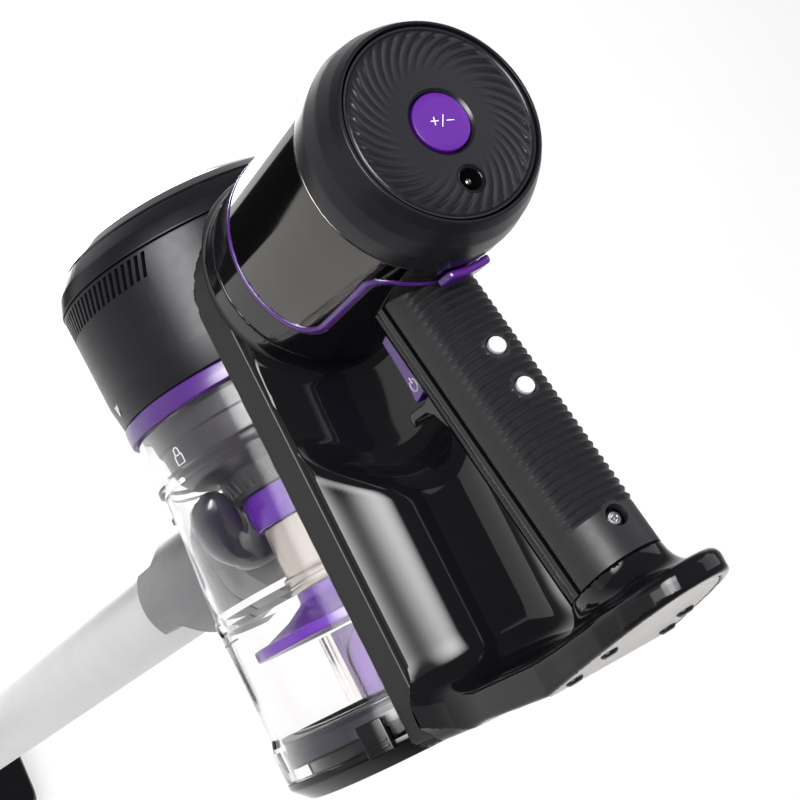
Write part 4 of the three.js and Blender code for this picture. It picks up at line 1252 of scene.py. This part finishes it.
def make_duct():
    """A bent duct from the bin's mouth at the wand round to the left, closing at its far end."""
    path = np.array([
        (0, -44.3, -43.5), (-3, -44.3, -39.5), (-12, -44.3, -36), (-22, -44, -31), (-31, -42.5, -21.5),
        (-36.5, -38, -8), (-37.5, -33, 2),
    ])
    step = np.linspace(0, len(path) - 1, 60)
    smooth = np.stack([np.interp(step, range(len(path)), path[:, i]) for i in range(3)], -1)
    for _ in range(14):
        smooth[1:-1] = (smooth[:-2] + 2 * smooth[1:-1] + smooth[2:]) / 4
    sections = []
    for r, order in ((DUCT_R, 1), (DUCT_R - DUCT_WALL, -1)):
        for i in range(len(smooth))[::order]:
            ahead = smooth[min(i + 1, len(smooth) - 1)] - smooth[max(i - 1, 0)]
            ahead /= np.linalg.norm(ahead)
            side = np.cross(ahead, (0, 1, 0))
            side /= np.linalg.norm(side)
            up = np.cross(side, ahead)
            t = np.linspace(0, 2 * math.pi, 48, endpoint=False)[:, None]
            run = i / (len(smooth) - 1)
            tall = 1 + 0.55 * math.sin(math.pi * min(1.0, run * 1.1)) ** 2
            close = math.sqrt(max(0.02, 1 - max(0.0, (run - 0.72) / 0.28) ** 2))
            sections.append(smooth[i] + r * close * (np.cos(t) * side + tall * np.sin(t) * up))
    sections.append(sections[0])
    points, faces = lofted(sections, caps=False)
    make_piece("dark_duct", (points, faces), DUCT, "bin", "inlet_duct")


def lid_block(x0, x1, y0, y1, z0, z1, r):
    """A block with rounded edges in the lid's own axes."""
    outline = rounded([(x0, z0), (x1, z0), (x1, z1), (x0, z1)], r, closed=True)
    return placed(on_lid, pulled(outline, y0, y1, min(r, 0.5)))


HINGE_Y, HINGE_Z = -121.4, -57.0


def lid_knuckle(low, high):
    """A round eye on the lid's hinge, between two places along the pin."""
    eye = rounded([(0, low), (3, low), (3, high), (0, high)], 0.3)
    return placed(on_lid, turned(eye, "X", (0, HINGE_Y, HINGE_Z), 40))


def make_lid():
    lid = rounded([
        (0, LID_LOW), (48.2, LID_LOW, 1.2), (53.2, -126.9, 1.6), (53.2, CUP_LOW - 0.4, 0.4),
        (44.6, CUP_LOW - 0.4), (44.6, -112.6), (42.2, -112.6), (42.2, -129.6), (0, -129.6),
    ], 0.4)
    make_piece("lid", turned(lid, "Y", segments=192), GLOSS, "lid", "bin_lid")
    arm = lid_block(-4.2, 4.2, HINGE_Y - 3, HINGE_Y, HINGE_Z, -52.4, 0.4)
    make_piece("lid_knuckle", joined([lid_knuckle(-4.2, 4.2), arm]), GLOSS, "lid")
    seal = rounded([
        (44.9, -120.4), (49.4, -120.4), (49.4, -116.8), (48.6, -115), (49.4, -113), (44.9, -113),
    ], 0.6, closed=True)
    make_piece("black_seal", turned(seal, "Y", segments=160), SEAL, "lid", "lid_seal")
    for i, side in enumerate((-1, 1)):
        low, high = sorted((side * 4.6, side * 8.6))
        arm = lid_block(low, high, HINGE_Y - 0.5, HINGE_Y + 6, HINGE_Z - 0.4, -52.9, 0.4)
        eye = joined([lid_knuckle(low, high), arm])
        make_piece(f"cup_knuckle_{i + 1}", eye, SMOKE, "bin")
    catch = joined([lid_block(-4.6, 4.6, -127.4, -117.0, 53.6, 55.3, 0.7),
                    lid_block(-4.6, 4.6, -127.4, -124.6, 51.8, 54.2, 0.4),
                    lid_block(-3.6, 3.6, -125.9, -125.1, 55.0, 55.8, 0.3),
                    lid_block(-3.6, 3.6, -123.9, -123.1, 55.0, 55.8, 0.3)])
    make_piece("catch", catch, GLOSS, "latch", "lid_latch")


make_cup()
make_cyclone()
make_duct()
make_lid()


# ---------- wand ----------
def make_coupling():
    profile = rounded([
        (10, -48), (21.9, -48, 1), (23, -62, 6), (23, -76, 0.3), (22.5, -76.4, 0.2), (22.5, -77.2, 0.2),
        (23, -77.6, 0.3), (23, COUPLING_LOW, 1.2), (WAND_R + 0.4, COUPLING_LOW, 0.6),
        (WAND_R + 0.4, WAND_TOP + 0.5), (13, WAND_TOP + 6), (10, -90),
    ], 0.4, closed=True)
    sleeve = make_piece("wand_socket", turned(profile, "Z", (0, WAND_Y, 0), 128), COUPLING_GREY,
                        "bin", "wand_coupling")
    cut(sleeve, turned([(0, -90), (52.3, -90), (52.3, 10), (0, 10)], "Y", segments=128))
    for side in (-1, 1):
        low, high = sorted((side * 12.9, side * 40))
        outline = rounded([(low, -170), (high, -170), (high, -127), (low, -127)], 6.0, closed=True)
        points, faces = pulled(outline, -30, 30, 0.01, axis="X")
        cut(sleeve, (points + (0, WAND_Y, 0), faces))
    window = rounded([(-7, -122.3), (7, -122.3), (7, -97.7), (-7, -97.7)], 2.0, closed=True)
    cut(sleeve, pulled(window, WAND_Y + 15, WAND_Y + 30, 0.01))
    sleeve.data.set_sharp_from_angle(angle=SHARP_ANGLE)
    spout = turned(rounded(tube_wall(9.6, 11.6, -54, -46.4), 0.3, closed=True), "Z", (0, WAND_Y, 0), 64)
    make_piece("wand_spout", spout, COUPLING_GREY, "bin")
    button = [(20.8, -121.9), (24.6, -121.9, 1), (25.3, -117, 3), (23.9, -109, 6), (25.0, -101, 3),
              (24.2, -98, 1), (20.8, -98)]
    points, faces = pulled(rounded(button, 0.4, closed=True), -6.6, 6.6, 0.6, axis="X")
    key = points + (0, WAND_Y, 0), faces
    make_piece("release_key", key, SATIN, "release", "wand_release")


def make_wand():
    tube = rounded([
        (WAND_R - 1.6, WAND_LOW), (WAND_R, WAND_LOW, 0.4), (WAND_R, WAND_TOP, 0.4),
        (WAND_R - 1.6, WAND_TOP),
    ], 0.3, closed=True)
    make_piece("silver_tube", turned(tube, "Z", (0, WAND_Y, 0), 128), SILVER, "wand", "wand_tube")
    low, high = unit_box("lower_coupling")
    sleeve = rounded([
        (WAND_R + 0.4, high[2]), (20.4, high[2], 0.6), (21.5, high[2] - 4, 2), (21.5, low[2] + 42),
        (20.9, low[2] + 38, 1), (21.5, low[2] + 34), (21.5, low[2] + 7, 3), (18.5, low[2], 1),
        (12, low[2]), (12, WAND_LOW - 6), (WAND_R + 0.4, WAND_LOW - 0.5),
    ], 0.5, closed=True)
    make_piece("lower_sleeve", turned(sleeve, "Z", (0, WAND_Y, 0), 128), COUPLING_GREY, "wand",
               "lower_coupling")


# ---------- floor head ----------
HEAD_HALF = unit_box("head_housing")[1][0]
HEAD_BACK, HEAD_FRONT = -58.0, 66.0
HEAD_TOP, HEAD_LOW = FLOOR_Z + 59.0, FLOOR_Z + 6.0
BRUSH_Y, BRUSH_Z, BRUSH_R = WAND_Y + 36.0, FLOOR_Z + 24.0, 21.0
PIVOT_Z = FLOOR_Z + 41.0
WINDOW_HALF = HEAD_HALF - 29.0
BAY_NEAR, BAY_FAR = 22.0, HEAD_HALF - 13.0
WHEEL_X, WHEEL_Y, WHEEL_Z = 72.0, WAND_Y - 46.0, FLOOR_Z + 12.0
HUB_R, BRUSH_GAP, HEAD_WALL = 17.0, 2.4, 5.0


def head_side():
    outline = [
        (HEAD_BACK + 6, HEAD_LOW, 4), (HEAD_FRONT - 4, HEAD_LOW, 3), (HEAD_FRONT, HEAD_LOW + 4, 3),
        (HEAD_FRONT, HEAD_LOW + 26, 12), (HEAD_FRONT - 6, HEAD_TOP - 8, 8),
        (HEAD_FRONT - 20, HEAD_TOP + 1, 10), (10, HEAD_TOP, 12), (HEAD_BACK + 20, HEAD_TOP - 8, 20),
        (HEAD_BACK + 4, HEAD_TOP - 24, 12), (HEAD_BACK, HEAD_LOW + 8, 6),
    ]
    return polygon_distance([(y + WAND_Y, z) for y, z in rounded(outline, 3, closed=True)])


def head_plan():
    half = [
        (HEAD_HALF - 16, HEAD_BACK - 2, 10), (HEAD_HALF - 4, HEAD_BACK + 6, 8),
        (HEAD_HALF, HEAD_BACK + 16, 8), (HEAD_HALF, HEAD_FRONT - 16, 8),
        (HEAD_HALF - 4, HEAD_FRONT - 5, 8), (HEAD_HALF - 16, HEAD_FRONT + 1, 10),
    ]
    return polygon_distance([(x, y + WAND_Y) for x, y in rounded(mirrored(half), 6, closed=True)])


def box_distance(x, y, z, low, high):
    a = np.maximum(low[0] - x, x - high[0])
    b = np.maximum(low[1] - y, y - high[1])
    c = np.maximum(low[2] - z, z - high[2])
    return np.maximum(np.maximum(a, b), c)


def window_cut(y, z, grow):
    """The curved slot over the brush that the clear window fills."""
    away = np.hypot(y - BRUSH_Y, z - BRUSH_Z)
    turn = np.degrees(np.arctan2(z - BRUSH_Z, y - BRUSH_Y))
    side = (np.maximum(20 - turn, turn - 105) - 0.6 * grow) * math.pi / 180 * 28
    return np.maximum(BRUSH_R + 2.6 - grow - away, side - grow)


def head_cuts(x, y, z):
    """The hollows of the floor head: brush, mouth, ankle, bays, wheel wells, belt and window."""
    brush = np.hypot(y - BRUSH_Y, z - BRUSH_Z) - BRUSH_R - BRUSH_GAP
    hub = np.hypot(y - WAND_Y, z - PIVOT_Z) - HUB_R
    well = np.hypot(y - WHEEL_Y, z - WHEEL_Z) - 14
    cuts = [
        np.maximum(brush, np.abs(x) - HEAD_HALF + HEAD_WALL),
        box_distance(x, y, z, (HEAD_WALL - HEAD_HALF, BRUSH_Y - 20, FLOOR_Z - 9),
                     (HEAD_HALF - HEAD_WALL, BRUSH_Y + 20, BRUSH_Z)),
        box_distance(x, y, z, (-HUB_R, WAND_Y - 90, FLOOR_Z + 23), (HUB_R, WAND_Y, FLOOR_Z + 85)),
        np.maximum(hub, np.abs(x) - HUB_R),
        box_distance(x, y, z, (-HUB_R, WAND_Y - 1, PIVOT_Z), (HUB_R, WAND_Y + HUB_R, FLOOR_Z + 85)),
        box_distance(np.abs(x), y, z, (BAY_NEAR, WAND_Y - 34, FLOOR_Z - 9),
                     (BAY_FAR, WAND_Y + 8, FLOOR_Z + 50)),
        np.maximum(well, np.abs(np.abs(x) - WHEEL_X) - 7.5),
        box_distance(x, y, z, (-93, WAND_Y, FLOOR_Z + 14), (-87, WAND_Y + 20, FLOOR_Z + 39)),
        np.maximum(window_cut(y, z, GAP), np.abs(x) - WINDOW_HALF - GAP),
    ]
    return np.minimum.reduce(cuts)


def make_head():
    side, plan = head_side(), head_plan()

    def outer(x, y, z):
        return edge(side(y, z), plan(x, y), 7.0)

    def housing(x, y, z):
        return edge(outer(x, y, z), -head_cuts(x, y, z), 0.6)

    low = (-HEAD_HALF - 2, WAND_Y + HEAD_BACK - 2, HEAD_LOW - 2)
    high = (HEAD_HALF + 2, WAND_Y + HEAD_FRONT + 3, HEAD_TOP + 3)
    moulded("head_shell", housing, low, high, 1.6, GLOSS, "head", "head_housing")

    def window(x, y, z):
        solid = edge(outer(x, y, z), window_cut(y, z, 0), 0.4)
        return edge(solid, np.abs(x) - WINDOW_HALF, 0.4)

    moulded("brush_window", window, (-WINDOW_HALF - 2, BRUSH_Y - 12, BRUSH_Z),
            (WINDOW_HALF + 2, high[1], high[2]), 1.4, CLEAR, "head", "head_window")
    make_sole_plates()
    make_neck()
    make_brush()
    make_wheels()


def make_sole_plates():
    near, far = BAY_NEAR + 0.4, BAY_FAR - 0.4
    back, front = WAND_Y - 33.6, WAND_Y + 7.6
    for side, left, right in (("left", -far, -near), ("right", near, far)):
        outline = rounded([(left, back), (right, back), (right, front), (left, front)], 1.5, closed=True)
        plate = pulled(outline, FLOOR_Z + 6.2, FLOOR_Z + 8.6, 0.5, axis="Z")
        make_piece(f"sole_{side}", plate, SATIN, "head", f"sole_plate_{side}")


def make_wheels():
    half = [(0, -7.2), (3, -7.2, 0.5), (3, -6), (9, -6), (9, -5.2), (10.5, -5.2), (12, -4.5, 1)]
    tyre = rounded(half + [(r, -h, *corner) for r, h, *corner in reversed(half)], 0.3)
    for side, body, x in (("left", "wheel_l", -WHEEL_X), ("right", "wheel_r", WHEEL_X)):
        make_piece(f"tyre_{side}", turned(tyre, "X", (x, WHEEL_Y, WHEEL_Z), 72), TYRE, body,
                   f"wheel_{side}")


def make_neck():
    ankle = rounded([
        (9, 40), (13.5, 40), (15.5, 60, 6), (15.5, 95, 3), (17.5, 102.7, 0.8), (11.6, 102.7), (11.6, 115),
        (9, 115),
    ], 0.4, closed=True)
    stem = turned(ankle, "Z", (0, WAND_Y, FLOOR_Z), 96)
    make_piece("ankle", stem, SATIN_SOFT, "neck", "head_neck")
    hub = rounded(tube_wall(9.5, 13.4, -15, 15), 0.8, closed=True)
    hub = turned(hub, "X", (0, WAND_Y, PIVOT_Z), 72)
    make_piece("ankle_hub", hub, SATIN_SOFT, "neck")


TUFT_ROWS, TUFT_STEPS = 4, 64


def make_brush():
    low, high = unit_box("brush_roll")
    core = rounded([
        (0, low[0]), (9, low[0]), (9, low[0] + 16), (15, low[0] + 16), (15, high[0]), (0, high[0]),
    ], 0.6)
    make_piece("brush_core", turned(core, "X", (0, BRUSH_Y, BRUSH_Z), 64), VIOLET, "brush", "brush_roll")
    tuft = [(0, 13), (1.35, 13), (1.6, 19.5), (0.5, 21), (0, 21)]
    tufts = []
    for row in range(TUFT_ROWS):
        for k in range(TUFT_STEPS):
            x = low[0] + 19 + (high[0] - low[0] - 22) * k / (TUFT_STEPS - 1)
            turn = row * 2 * math.pi / TUFT_ROWS + 0.4 + 0.9 * k / TUFT_STEPS
            points, faces = turned(tuft, "Z", (x, 0, 0), 6)
            tufts.append((turn_about_x(points, turn) + (0, BRUSH_Y, BRUSH_Z), faces))
    make_piece("brush_tufts", joined(tufts), BRISTLE, "brush")


make_coupling()
make_wand()
make_head()


# ---------- pieces inside, kept from the frame ----------
INSIDE = {
    "battery_cell_1": CELL, "battery_cell_2": CELL, "battery_cell_3": CELL, "circuit_board": BOARD,
    "motor_can": STEEL, "motor_shaft": STEEL, "impeller": SATIN, "pre_filter": FILTER,
    "lid_hinge_pin": STEEL, "brush_motor": STEEL, "drive_belt": TYRE,
}


def make_inside():
    for name, material in INSIDE.items():
        mesh = bpy.data.objects[name].data
        mesh.materials.clear()
        mesh.materials.append(material)


make_inside()
